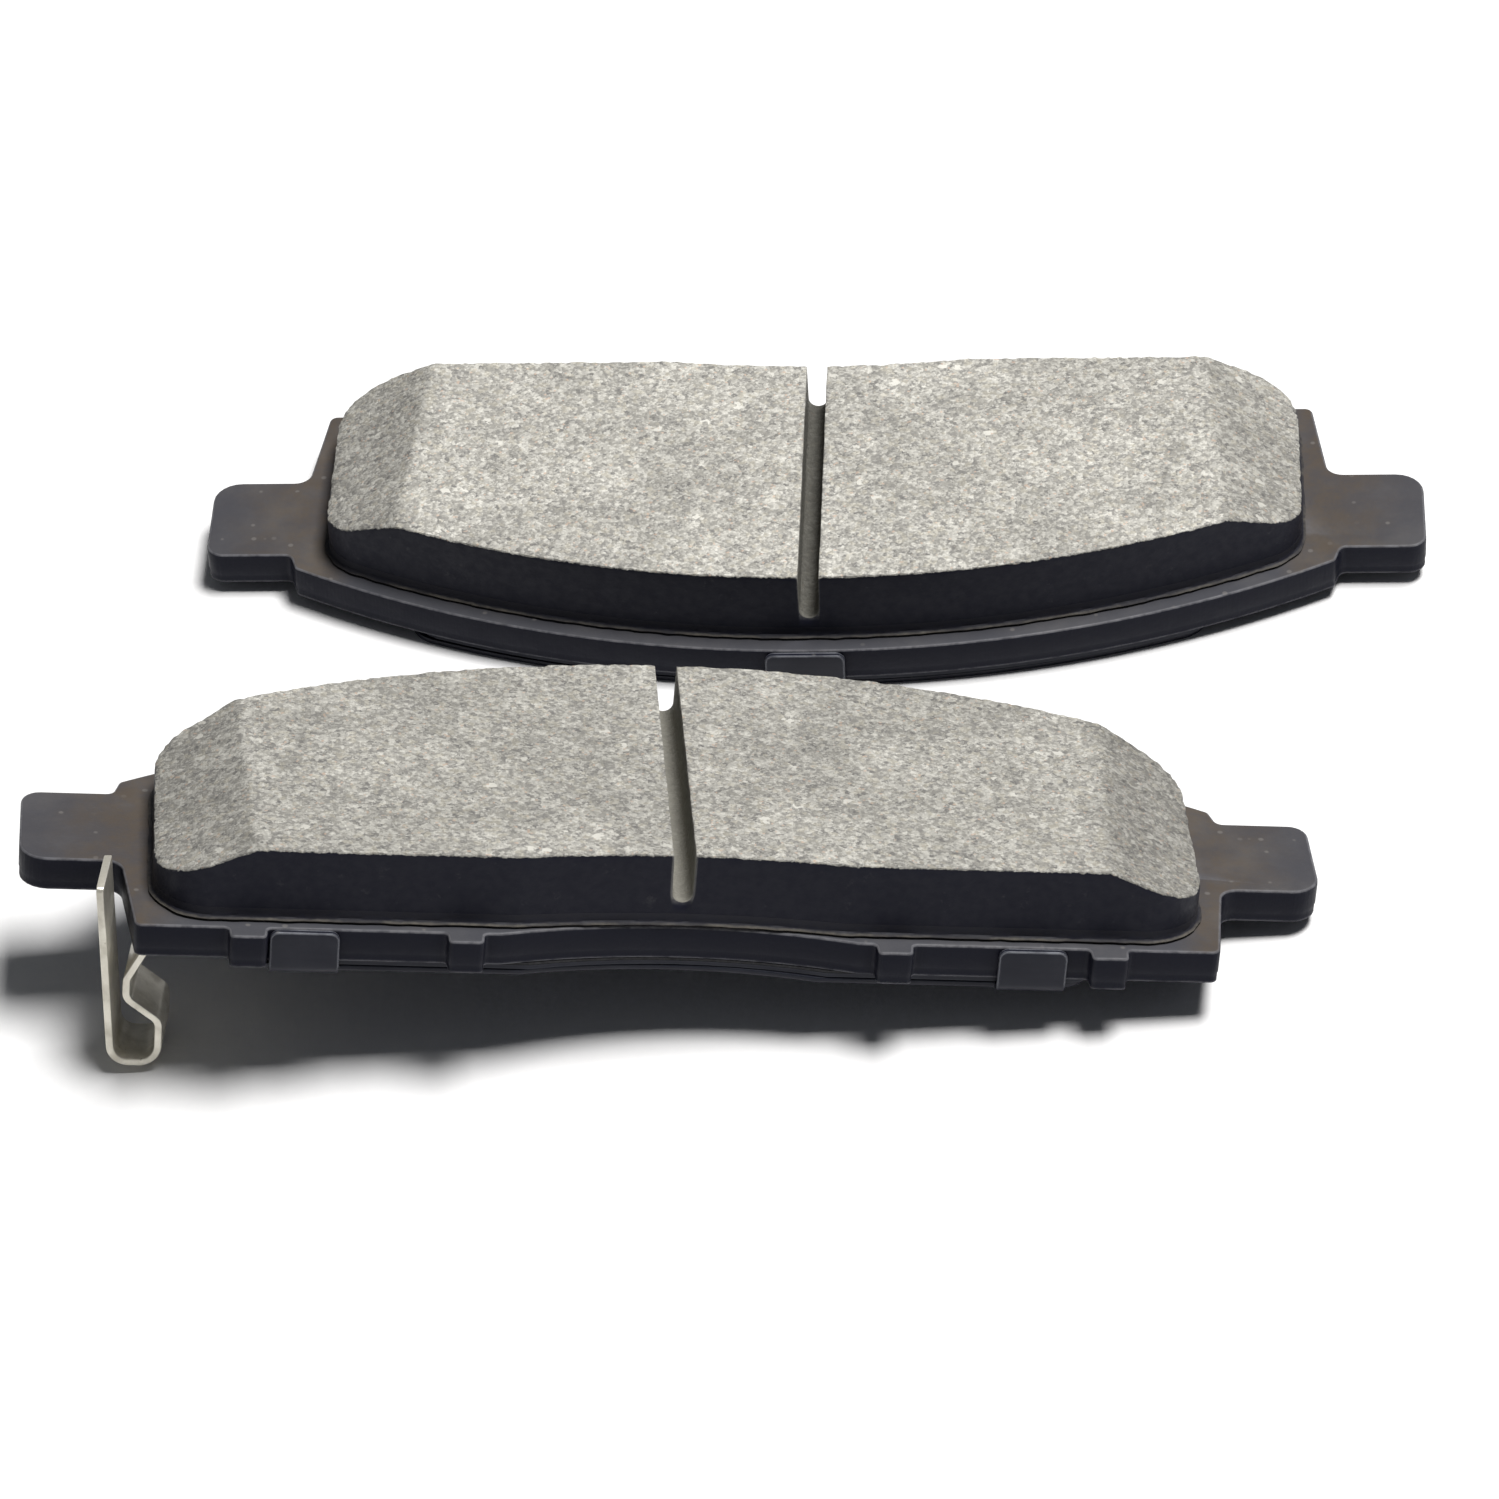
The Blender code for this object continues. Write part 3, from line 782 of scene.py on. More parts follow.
@dataclass(frozen=True)
class FrictionCompound(Finish):
    """Ground friction compound, with paint on its moulded sides up to a ragged line under the rim."""

    name: str = "friction_compound"
    # Painted light and shade: a factor on the whole compound's colour, lighter on the outer pad and darker on the
    # inner, as the light falls on each.
    shade: float = 1.0
    matrix: Colour = (0.325, 0.315, 0.285)
    pale: Colour = (0.63, 0.617, 0.565)
    straw: Colour = (0.47, 0.440, 0.362)
    ash: Colour = (0.235, 0.229, 0.218)
    graphite: Colour = (0.110, 0.108, 0.108)
    copper: Colour = (0.42, 0.22, 0.12)
    # Partly dust and partly painted shade: the slot's darker colour, set per pad to offset how much light reaches
    # each slot.
    slot_dust_and_shade: Colour = (0.120, 0.116, 0.100)
    paint: Colour = (0.0085, 0.0092, 0.0175)
    paint_scuff: Colour = (0.034, 0.034, 0.040)
    # Painted shade on both chamfers past their creases.
    chamfer_shade: float = 0.74
    grain: float = 0.74
    fine_grain: float = 0.34
    flake_grain: float = 2.294
    powder_share: float = 0.60
    copper_share: float = 0.4
    rim_band: float = 0.16
    relief: float = 0.065

    def grains(self, graph: Graph, where: Socket, size: float, ragged: float) -> Node:
        """Grains about size millimetres wide."""
        return graph.group(Granules.tree(), where=where, density=1 / (size * MM), ragged=ragged)

    def ground_face(self, graph: Graph, where: Socket, coarse: Node, fine: Node) -> Socket:
        """The ground compound's colour.

        Args:
            graph: The material's tree.
            where: The surface's place, in metres.
            coarse: The coarse grains.
            fine: The fine grains.

        Returns:
            The colour, with painted shade past the creases, the pad's painted light and shade over all of it, and
            the slot's colour of dust and painted shade deeper in the slot.
        """
        colours = (self.graphite, self.ash, self.matrix, self.straw, self.pale)
        stops = tuple(zip((0.0, 0.075, 0.26, 0.62, 0.74), colours))
        speckle = graph.ramp(coarse.outputs["Value"], stops, steps=True)
        powder = graph.ramp(fine.outputs["Value"], ((0.0, self.ash), (0.45, self.matrix), (1.0, self.pale)))
        ground = graph.mix(self.powder_share, speckle, powder)
        big = self.grains(graph, where, self.flake_grain, 1.2)
        flake = graph.step(big.outputs["Value"], 0.955, 0.96)
        core = graph.step(big.outputs["Height"], 0.72, 0.80)
        ground = graph.mix(graph.times(flake, core), ground, self.pale)
        fleck = graph.step(fine.outputs["Value"], 0.984, 0.986)
        ground = graph.mix(graph.times(fleck, self.copper_share), ground, self.copper)
        cloud = graph.step(graph.noise(where, 16.0, 4.0, 0.6), 0.30, 0.70, 0.87, 1.10)
        patch = graph.step(graph.noise(where, 4.5, 3.0, 0.6), 0.30, 0.70, 0.92, 1.07)
        # Painted shade: past the creases the chamfers are darkened, and the whole face is scaled by the pad's
        # shade, as light falls on them.
        across, along, _ = graph.axes(where)
        crease = graph.maths("MULTIPLY_ADD", along, SHAPE.crease_slope, SHAPE.crease_x(0.0) * MM)
        past = graph.maths("SUBTRACT", graph.maths("ABSOLUTE", across), crease)
        duller = graph.step(past, -1.0 * MM, 0.7 * MM, self.shade, self.shade * self.chamfer_shade)
        # Random tone patches together with the painted shade of the chamfers and the pad.
        light = graph.times(cloud, graph.times(patch, duller))
        tone = graph.node("ShaderNodeCombineColor")
        for socket in tone.inputs:
            graph.put(socket, light)
        ground = graph.mix(1.0, ground, tone.outputs[0], "MULTIPLY")
        # Painted shade with dust: the deeper in the slot, the more of the slot's darker colour.
        dusty = graph.step(graph.attribute("slot_depth"), 0.2, 1.6, 0.0, 0.86)
        return graph.mix(dusty, ground, self.slot_dust_and_shade)

    def side_paint(self, graph: Graph, where: Socket) -> Socket:
        """The painted side's colour, scuffed in places and rubbed along its edges."""
        scuffed = graph.step(graph.noise(where, 2.6, 6.0, 0.72), 0.60, 0.74, 0.0, 0.55)
        amount = graph.step(graph.axes(where)[2], 3.0 * MM, 4.5 * MM, 0.0, 0.5)
        worn = graph.group(EdgeWear.tree(), where=where, radius=0.35 * MM, amount=amount, breakup=900.0)
        paint = graph.mix(scuffed, self.paint, self.paint_scuff)
        return graph.mix(worn.outputs["Mask"], paint, self.ash)

    def wire(self, graph: Graph, where: Socket) -> dict[str, Value]:
        """Wire grains of three sizes, the paint below the rim and the slot's colour of dust and painted shade."""
        coarse = self.grains(graph, where, self.grain, 0.9)
        fine = self.grains(graph, where, self.fine_grain, 0.8)
        crumble = graph.times(graph.noise(where, 0.75, 3.0, 0.7), 0.62)
        line = graph.maths("ADD", crumble, self.rim_band - 0.30)
        painted = graph.step(graph.attribute("below_rim"), line, graph.maths("ADD", line, 0.14))
        ground_rough = graph.step(coarse.outputs["Value"], 0.0, 1.0, 0.86, 0.66)
        paint_rough = graph.step(graph.noise(where, 1.2, 3.0), 0.3, 0.7, 0.46, 0.62)
        rough = graph.node("ShaderNodeMix", data_type="FLOAT")
        for place, value in ((0, painted), (2, ground_rough), (3, paint_rough)):
            graph.put(rough.inputs[place], value)
        relief = graph.maths("ADD", coarse.outputs["Height"], graph.times(fine.outputs["Height"], 0.55))
        relief = graph.times(relief, graph.step(painted, 0.0, 1.0, 1.0, 0.22))
        ground = self.ground_face(graph, where, coarse, fine)
        return {
            "Base Color": graph.mix(painted, ground, self.side_paint(graph, where)),
            "Roughness": rough.outputs[0],
            "Specular IOR Level": 0.16,
            "Normal": graph.bump(relief, self.relief),
        }


@dataclass(frozen=True)
class PlatePaint(Finish):
    """Thin dark paint on stamped steel, tinted brown by the curing heat next to the friction block."""

    name: str = "plate_paint"
    # Painted light and shade: one paint with a dark colour for the edges and a lighter one for faces turned up,
    # partly a dusty tint and partly painted light.
    side: Colour = (0.0070, 0.0078, 0.0155)
    top: Colour = (0.064, 0.065, 0.075)
    heat: Colour = (0.094, 0.075, 0.058)
    # Painted highlight, partly rubbed paint: the paler colour on the rolled edge.
    rolled: Colour = (0.135, 0.135, 0.148)
    # The bright edges' colour: partly bare steel, partly painted highlight.
    bare: Colour = (0.26, 0.26, 0.28)
    dust: Colour = (0.20, 0.19, 0.18)
    mottled: Colour = (0.034, 0.034, 0.042)
    tint_from: float = 66.0
    tint_full: float = 72.0
    tint_fades: float = 75.0
    tint_to: float = 88.0

    def paint(self, graph: Graph, where: Socket, upward: Socket, mottle: Socket) -> Socket:
        """The paint's colour.

        Args:
            graph: The material's tree.
            where: The surface's place, in metres.
            upward: 1 on the plate's friction side and 0 on its edges.
            mottle: Soft patches, from 0 to 1.

        Returns:
            The paint, lighter on faces turned up and darker on its edges, partly a dusty tint and partly painted
            light, with the heat's tint at both ends and a paler rolled edge of rubbed paint and painted highlight.
        """
        # Painted light: faces turned up lighter, edges darker.
        colour = graph.mix(upward, self.side, self.top)
        along = graph.maths("ABSOLUTE", graph.axes(where)[0])
        rise = graph.step(along, self.tint_from * MM, self.tint_full * MM)
        fall = graph.step(along, self.tint_fades * MM, self.tint_to * MM, 1.0, 0.12)
        tint = graph.times(rise, fall, graph.step(mottle, 0.0, 1.0, 0.35, 0.95))
        colour = graph.mix(graph.times(tint, upward), colour, self.heat)
        colour = graph.mix(graph.times(mottle, 0.10), colour, self.mottled)
        up = graph.upward()
        # Painted highlight, partly rubbed paint, along the rolled edge where it turns up.
        roll = graph.times(graph.step(up, 0.30, 0.62), graph.step(up, 0.90, 0.975, 1.0, 0.0))
        rubbed = graph.step(graph.noise(where, 1.6, 5.0, 0.68), 0.30, 0.66, 0.25, 1.0)
        return graph.mix(graph.times(roll, rubbed), colour, self.rolled)

    def wire(self, graph: Graph, where: Socket) -> dict[str, Value]:
        """Wire the paint, dust, worn edges with a painted highlight, orange peel and the marks of shearing on the
        edges.
        """
        upward = graph.step(graph.upward(), 0.45, 0.93)
        mottle = graph.step(graph.noise(where, 5.0, 6.0, 0.68), 0.28, 0.74)
        colour = self.paint(graph, where, upward, mottle)
        dust = graph.group(Dust.tree(), where=where, amount=0.45, speck_density=620.0)
        colour = graph.mix(graph.times(dust.outputs["Mask"], 0.45), colour, self.dust)
        colour = graph.mix(dust.outputs["Specks"], colour, self.dust)
        # Bright edges: partly worn paint, partly painted highlight.
        worn = graph.group(EdgeWear.tree(), where=where, radius=0.55 * MM, amount=0.55, breakup=420.0)
        wear = worn.outputs["Mask"]
        gloss = graph.step(mottle, 0.0, 1.0, 0.40, 0.56)
        peel = graph.noise(where, 0.9, 2.0, 0.5)
        shear = graph.noise(graph.vector("MULTIPLY", where, (1.0, 1.0, 0.05)), 0.35, 2.0, 0.5)
        shear = graph.times(shear, graph.step(upward, 0.0, 0.5, 0.9, 0.0))
        return {
            "Base Color": graph.mix(wear, colour, self.bare),
            "Roughness": graph.maths("SUBTRACT", gloss, graph.times(wear, 0.1)),
            "Metallic": graph.times(wear, 0.25),
            "Specular IOR Level": 0.10,
            "Normal": graph.bump(graph.maths("ADD", peel, shear), 0.05),
        }


@dataclass(frozen=True)
class SheetCoating(Finish):
    """Dark coated sheet steel, scuffed along its rolled and sheared edges, with a painted highlight along the
    tabs' edges.
    """

    name: str = "sheet_coating"
    base: Colour = (0.0080, 0.0090, 0.0175)
    haze: Colour = (0.016, 0.018, 0.028)
    # The bright edges' colour: worn steel, and painted highlight on the tabs.
    bare: Colour = (0.27, 0.28, 0.31)
    dust: Colour = (0.22, 0.21, 0.20)

    def wire(self, graph: Graph, where: Socket) -> dict[str, Value]:
        """Wire rolling streaks, haze, fine specks, and bright edges that are worn coating and, on the tabs,
        painted highlight.
        """
        streak = graph.noise(graph.vector("MULTIPLY", where, (0.08, 1.0, 1.0)), 0.8, 4.0, 0.6)
        haze = graph.step(graph.noise(where, 6.0, 5.0, 0.66), 0.35, 0.72)
        colour = graph.mix(graph.times(haze, 0.6), self.base, self.haze)
        dust = graph.group(Dust.tree(), where=where, amount=0.4, speck_density=700.0)
        colour = graph.mix(dust.outputs["Specks"], colour, self.dust)
        # Worn edges and painted highlight: the bright edge colour is strong on the tabs and faint on the sheet.
        on_tab = graph.step(graph.axes(where)[2], -6.1 * MM, -5.2 * MM, 0.08, 0.95)
        amount = on_tab if self.grounds is Grounds.PAD else 0.05
        worn = graph.group(EdgeWear.tree(), where=where, radius=0.50 * MM, amount=amount, breakup=300.0)
        wear = worn.outputs["Mask"]
        return {
            "Base Color": graph.mix(wear, colour, self.bare),
            "Metallic": graph.times(wear, 0.2),
            "Roughness": graph.step(streak, 0.3, 0.7, 0.34, 0.50),
            "Specular IOR Level": 0.22,
            "Normal": graph.bump(graph.maths("ADD", streak, graph.noise(where, 0.5)), 0.008),
        }


@dataclass(frozen=True)
class MouldedFibre(Finish):
    """The moulded underlayer: painted with the block, its thin flash rubbed pale along the foot."""

    name: str = "moulded_fibre"
    paint: Colour = (0.0085, 0.0092, 0.0175)
    fibre: Colour = (0.016, 0.016, 0.022)
    flash: Colour = (0.150, 0.136, 0.110)
    flash_from: float = 0.42
    flash_to: float = 0.77

    def wire(self, graph: Graph, where: Socket) -> dict[str, Value]:
        """Wire matted fibres, the paint above the foot and the pale flash."""
        strands = graph.noise(graph.vector("MULTIPLY", where, (0.3, 0.3, 1.0)), 0.45, 5.0, 0.7)
        fibre = graph.mix(graph.step(strands, 0.3, 0.7), self.fibre, self.paint)
        ragged = graph.times(graph.noise(where, 1.4, 4.0, 0.65), 0.3 * MM)
        height = graph.maths("ADD", graph.axes(where)[2], ragged)
        low = graph.step(height, self.flash_from * MM, self.flash_to * MM, 1.0, 0.0)
        patchy = graph.step(graph.noise(where, 9.0, 4.0, 0.6), 0.36, 0.60, 0.25, 1.0)
        return {
            "Base Color": graph.mix(graph.times(low, patchy), fibre, self.flash),
            "Roughness": graph.step(strands, 0.2, 0.8, 0.75, 0.50),
            "Specular IOR Level": 0.25,
            "Normal": graph.bump(strands, 0.03),
        }


@dataclass(frozen=True)
class PlatedSteel(Finish):
    """Bright plated steel with drawing streaks, a slight yellow cast and dull patches."""

    name: str = "plated_spring"
    bright: Colour = (0.74, 0.71, 0.62)
    dull: Colour = (0.47, 0.44, 0.365)
    stain: Colour = (0.22, 0.195, 0.130)
    worn: Colour = (0.88, 0.86, 0.80)
    rough_low: float = 0.30
    rough_high: float = 0.48
    streaks: Corner = (0.06, 1.0, 0.06)

    def wire(self, graph: Graph, where: Socket) -> dict[str, Value]:
        """Wire streaks along the strip, dull patches, small stains and rounded bright edges."""
        streak = graph.noise(graph.vector("MULTIPLY", where, self.streaks), 0.30, 4.0, 0.65)
        patch = graph.step(graph.noise(where, 3.2, 5.0, 0.62), 0.34, 0.72)
        colour = graph.mix(graph.times(patch, 0.75), self.bright, self.dull)
        spot = graph.step(graph.noise(where, 1.1, 5.0, 0.7), 0.64, 0.74, 0.0, 0.7)
        colour = graph.mix(spot, colour, self.stain)
        worn = graph.group(EdgeWear.tree(), where=where, radius=0.22 * MM, amount=0.6, breakup=900.0)
        blur = graph.maths("ADD", graph.times(streak, 0.5), graph.times(patch, 0.5))
        return {
            "Base Color": graph.mix(worn.outputs["Mask"], colour, self.worn),
            "Metallic": 0.6,
            "Roughness": graph.step(blur, 0.15, 0.85, self.rough_low, self.rough_high),
            "Normal": graph.bump(streak, 0.018),
        }


@dataclass(frozen=True)
class RubberSkin(Finish):
    """Matte black rubber coating with a fine pebble."""

    name: str = "rubber_skin"
    base: Colour = (0.010, 0.010, 0.012)
    bloom: Colour = (0.024, 0.024, 0.028)

    def wire(self, graph: Graph, where: Socket) -> dict[str, Value]:
        """Wire the pebble and a greyish bloom."""
        pebble = graph.group(Granules.tree(), where=where, density=2400.0, ragged=0.6)
        bloom = graph.step(graph.noise(where, 7.0, 5.0, 0.65), 0.4, 0.75, 0.0, 0.7)
        return {
            "Base Color": graph.mix(bloom, self.base, self.bloom),
            "Roughness": graph.step(pebble.outputs["Value"], 0.0, 1.0, 0.72, 0.90),
            "Normal": graph.bump(pebble.outputs["Height"], 0.03),
        }


@dataclass(frozen=True)
class CuredAdhesive(Finish):
    """Brown phenolic adhesive, glassy where thick and chalky where thin."""

    name: str = "cured_adhesive"
    thick: Colour = (0.120, 0.070, 0.032)
    thin: Colour = (0.300, 0.220, 0.140)

    def wire(self, graph: Graph, where: Socket) -> dict[str, Value]:
        """Wire the spread from thick to thin."""
        spread = graph.step(graph.noise(where, 3.0, 5.0, 0.6), 0.3, 0.7)
        return {
            "Base Color": graph.mix(spread, self.thick, self.thin),
            "Roughness": graph.step(spread, 0.0, 1.0, 0.38, 0.75),
            "Normal": graph.bump(graph.noise(where, 0.7), 0.03),
        }


@dataclass(frozen=True)
class PaleBoard(Finish):
    """The pale, slightly soft floor of the studio."""

    name: str = "pale_board"
    tone: Colour = (0.93, 0.93, 0.935)
    shade: Colour = (0.89, 0.89, 0.90)

    def wire(self, graph: Graph, where: Socket) -> dict[str, Value]:
        """Wire a barely visible tooth."""
        tooth = graph.noise(where, 1.5, 4.0, 0.6)
        return {
            "Base Color": graph.mix(graph.step(tooth, 0.35, 0.65, 0.0, 0.25), self.tone, self.shade),
            "Roughness": 0.85,
            "Normal": graph.bump(tooth, 0.04),
        }


# ---- Where the pads lie ----


@dataclass(frozen=True)
class Seat:
    """A pad's own frame in the set's frame, and the bodies that its pieces ride on."""

    pad: Pad
    matrix: Matrix
    face_x: ClassVar[float] = 30.0

    @classmethod
    def of(cls, pad: Pad) -> "Seat":
        """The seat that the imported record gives: its friction face's mount and its shim's slide.

        Args:
            pad: Which pad.

        Returns:
            The seat.
        """
        mounts = {mount["name"]: mount for mount in frame["record"]["mounts"]}
        joints = {joint["name"]: joint for joint in frame["joints"]}
        face = mounts[f"{pad.value}_friction_face"]
        up = Vector(face["axis"]).normalized()
        along = Vector(joints[f"{pad.value}_shim_slide"]["axis"])
        across = up.cross(along).normalized()
        along = across.cross(up)
        origin = Vector(face["pos_m"]) - (along * cls.face_x + up * SHAPE.friction_top) * MM
        turn = Matrix((along, across, up)).transposed().to_4x4()
        return cls(pad, Matrix.Translation(origin) @ turn)

    @property
    def body(self) -> str:
        """The CAD body of the pad itself."""
        return f"{self.pad.value}_pad"

    @property
    def shim_body(self) -> str:
        """The CAD body of the pad's tabbed shim."""
        return f"{self.pad.value}_shim"

    def node(self, part: str) -> str:
        """The CAD node of one of this pad's sub-parts."""
        return f"{self.pad.value}_{part}"


@dataclass
class SubAssembly(ABC):
    """Pieces of one pad that belong together."""

    seat: Seat
    pieces: list[bpy.types.Object] = field(default_factory=list, init=False)

    def place(self, mesh: Mesh, body: str, slot: Slot, stands_for: str) -> bpy.types.Object:
        """Put a mesh, made in the pad's own frame, into the scene.

        Args:
            mesh: The mesh.
            body: The CAD body that it moves with.
            slot: The record's material slot for it. Not used.
            stands_for: The CAD node that it is shown in place of.

        Returns:
            The piece.
        """
        stored = mesh.attributes.new(Grounds.PAD.value, "FLOAT_VECTOR", "POINT")
        for vertex in mesh.vertices:
            stored.data[vertex.index].vector = vertex.co
        mesh.transform(self.seat.matrix)
        made = bpy.data.objects.new(mesh.name, mesh)
        bpy.context.scene.collection.objects.link(made)
        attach(made, body)
        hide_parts(stands_for)
        self.pieces.append(made)
        return made

    def paint(self, *finishes: Finish) -> None:
        """Give each piece its finish, in order."""
        for piece, finish in zip(self.pieces, finishes):
            piece.data.materials.clear()
            piece.data.materials.append(finish.material())

    @abstractmethod
    def build(self) -> None:
        """Make the pieces' meshes."""

    @abstractmethod
    def dress(self) -> None:
        """Give the pieces their finishes."""

    def report(self) -> None:
        """Log each piece with its size in faces."""
        for piece in self.pieces:
            log.info("%s: %d faces", piece.name, len(piece.data.polygons))


# ---- Sub-assemblies ----


@dataclass
class FrictionBlock(SubAssembly):
    """The friction block: a ground, chamfered and slotted top with a crumbled rim, and moulded sides."""

    grid: float = 0.62
    chamfer_drop: float = 5.2
    slot_half: float = 1.4
    slot_floor: float = 3.6
    slot_draft: float = 0.10
    slot_flare: float = 0.32
    tooth_wide: float = 0.9
    tooth_deep: float = 0.035
    pull_wide: float = 1.5
    pull_deep: float = 0.30
    pull_from: float = 0.42
    grid_sway: float = 0.35
    rim_chip: float = 0.34
    rim_fade: float = 0.30
    rim_depths: tuple[float, ...] = (0.0, 0.14, 0.36, 0.8, 1.6, 3.0)

    @property
    def seed(self) -> float:
        """Keeps the two blocks' grain apart."""
        return 3.7 if self.seat.pad is Pad.INNER else 11.3

    def top_at(self, x: float, y: float) -> float:
        """Height of the ground top or of a chamfer."""
        slope = self.chamfer_drop / (SHAPE.friction_side - SHAPE.crease_x(0.0))
        return SHAPE.friction_top - max(0.0, abs(x) - SHAPE.crease_x(y)) * slope

    def grain_at(self, x: float, y: float) -> float:
        """How far the ground surface lies under its plane, from pulled-out grains and fine tooth."""
        place = Vector((x, y, 0.0))
        tooth = self.tooth_deep * abs(ruffle(place, self.tooth_wide, self.seed))
        pull = ruffle(place, self.pull_wide, self.seed + 5.0)
        return tooth + self.pull_deep * max(0.0, pull - self.pull_from)

    def rim_rings(self) -> list[list[Vector]]:
        """The wall's rings from the crumbled rim down to the block's foot."""
        outline = even_steps(SHAPE.friction_outline(), self.grid)
        seed = self.seed
        rings = []
        for depth in self.rim_depths:
            fade = math.exp(-depth / self.rim_fade)
            insets = []
            heights = []
            for x, y in outline:
                place = Vector((x, y, depth))
                coarse, fine = ruffle(place, 1.1, seed), ruffle(place, 0.5, seed + 2)
                chip = max(0.0, 0.30 + coarse + 0.5 * fine)
                wave = 0.035 * ruffle(place, 3.0, seed + 9.0) + 0.02 * ruffle(place, 0.9, seed + 7.0)
                insets.append(fade * (0.05 + self.rim_chip * chip) + wave)
                crumb = fade * 0.22 * max(0.0, ruffle(place, 1.4, seed + 4.0))
                heights.append(self.top_at(x, y) - depth - crumb)
            rings.append(level(inset(outline, insets), heights))
        lowest = rings[-1]
        for share in (0.5, 1.0):
            rings.append([Vector((p.x, p.y, p.z + (SHAPE.friction_base - p.z) * share)) for p in lowest])
        return rings

    def inner_points(self, rim: Sequence[Vector]) -> list[Vector]:
        """Points of the top inside its rim, on a slightly shaken triangular grid.

        Args:
            rim: The rim's points.

        Returns:
            Points in the plane.
        """
        edge = np.array([(p.x, p.y) for p in rim])
        rows = []
        low, high = edge.min(axis=0), edge.max(axis=0)
        row_step = self.grid * math.sqrt(3) / 2
        for row in range(int((high[1] - low[1]) / row_step) + 1):
            y = low[1] + row * row_step
            shift = 0.5 * self.grid * (row % 2)
            for x in np.arange(low[0] + shift, high[0], self.grid):
                place = Vector((float(x), float(y), 0.0))
                sway = Vector((ruffle(place, 0.8, 1.0), ruffle(place, 0.8, 2.0))) * self.grid * self.grid_sway
                rows.append((place.x + sway.x, place.y + sway.y))
        points = np.array(rows)
        inside = np.zeros(len(points), bool)
        nearest = np.full(len(points), np.inf)
        for first, second in zip(edge, np.roll(edge, -1, axis=0)):
            crosses = (first[1] > points[:, 1]) != (second[1] > points[:, 1])
            rise = second[1] - first[1]
            if rise != 0:
                meets = first[0] + (points[:, 1] - first[1]) * (second[0] - first[0]) / rise
                inside ^= crosses & (points[:, 0] < meets)
            nearest = np.minimum(nearest, np.hypot(*(points - first).T))
        creases = [SHAPE.crease_x(y) for y in points[:, 1]]
        clear = np.abs(np.abs(points[:, 0]) - creases) > self.grid * 0.4
        kept = points[inside & (nearest > self.grid * 0.62) & clear]
        lines = []
        for side in (-1, 1):
            for y in np.arange(low[1] + 1.2, high[1] - 1.2, self.grid):
                lines.append((side * SHAPE.crease_x(float(y)), float(y)))
        lines = [p for p in lines if math.hypot(p[0], p[1] - SHAPE.arc_centre_y) < SHAPE.friction_arc - 0.9]
        return [Vector(p) for p in kept.tolist() + lines]

    def slot_tool(self) -> Mesh:
        """The cutter that leaves the slot: slightly wavy walls and a rounded floor."""
        rings = []
        rim, above = SHAPE.friction_top - 0.3, SHAPE.friction_top + 1
        for y in np.arange(SHAPE.friction_inner - 4.0, SHAPE.plate_top + 4.0, 0.9):
            place = Vector((0.0, float(y), 0.0))
            half = self.slot_half + 0.05 * ruffle(place, 2.0, self.seed + 1.0)
            shift = 0.05 * ruffle(place, 5.0, self.seed + 3.0)
            section = arc((shift, self.slot_floor + half), half, 180.0, 360.0, 10)
            left, right = shift - half, shift + half
            section += [(right + self.slot_draft, rim), (right + self.slot_flare, above)]
            section += [(left - self.slot_flare, above), (left - self.slot_draft, rim)]
            rings.append([Vector((x, float(y), z)) for x, z in section])
        return solid("slot_tool", 30.0, rings)

    def build(self) -> None:
        """Make the block."""
        rings = self.rim_rings()
        bm = bmesh.new()
        made = loft(bm, list(reversed(rings)), capped=False)
        bm.faces.new(list(reversed(made[0])))
        rim = made[-1]
        flat = [Vector((p.x, p.y)) for p in rings[0]]
        points = flat + self.inner_points(rings[0])
        edges = [(index, (index + 1) % len(flat)) for index in range(len(flat))]
        spots, _, faces, origins, _, _ = delaunay_2d_cdt(points, edges, [], 1, 1e-6)
        corners = []
        for spot, origin in zip(spots, origins):
            if origin and origin[0] < len(flat):
                corners.append(rim[origin[0]])
                continue
            height = self.top_at(spot.x, spot.y) - self.grain_at(spot.x, spot.y)
            corners.append(bm.verts.new(Vector((spot.x, spot.y, height)) * MM))
        for face in faces:
            bm.faces.new([corners[index] for index in face])
        mesh = closed_mesh(bm, self.seat.node("friction_compound"), 50.0)
        mesh = cut(mesh, self.slot_tool())
        self.mark(mesh)
        self.place(mesh, self.seat.body, Slot.FRICTION, self.seat.node("friction_block"))

    def mark(self, mesh: Mesh) -> None:
        """Store how far each face's corners lie below the rim, or how deep in the slot, in millimetres."""
        below = mesh.attributes.new("below_rim", "FLOAT", "CORNER")
        depth = mesh.attributes.new("slot_depth", "FLOAT", "CORNER")
        for face in mesh.polygons:
            middle = face.center / MM
            faces_side = abs(face.normal.y) > 0.5
            on_top = face.normal.z > 0.9 and middle.z > self.slot_floor + 3.0
            in_slot = abs(middle.x) < self.slot_half + 0.5 and not faces_side and not on_top
            for index in face.loop_indices:
                x, y, z = mesh.vertices[mesh.loops[index].vertex_index].co / MM
                drop = self.top_at(x, y) - z
                below.data[index].value = -1.0 if in_slot else drop
                depth.data[index].value = drop if in_slot else 0.0

    def dress(self) -> None:
        """Give the block its compound: darker with painted shade and with a lighter slot on the inner pad, lighter
        with painted light and with a darker slot on the outer pad.
        """
        # Painted light and shade: the inner pad's compound darker with a lighter slot, the outer pad's lighter
        # with a darker slot.
        shade, slot_dust_and_shade = 1.06, (0.099, 0.096, 0.083)
        if self.seat.pad is Pad.INNER:
            shade, slot_dust_and_shade = 0.87, (0.210, 0.203, 0.176)
        self.paint(FrictionCompound(self.seat.node("compound"), shade, slot_dust_and_shade=slot_dust_and_shade))


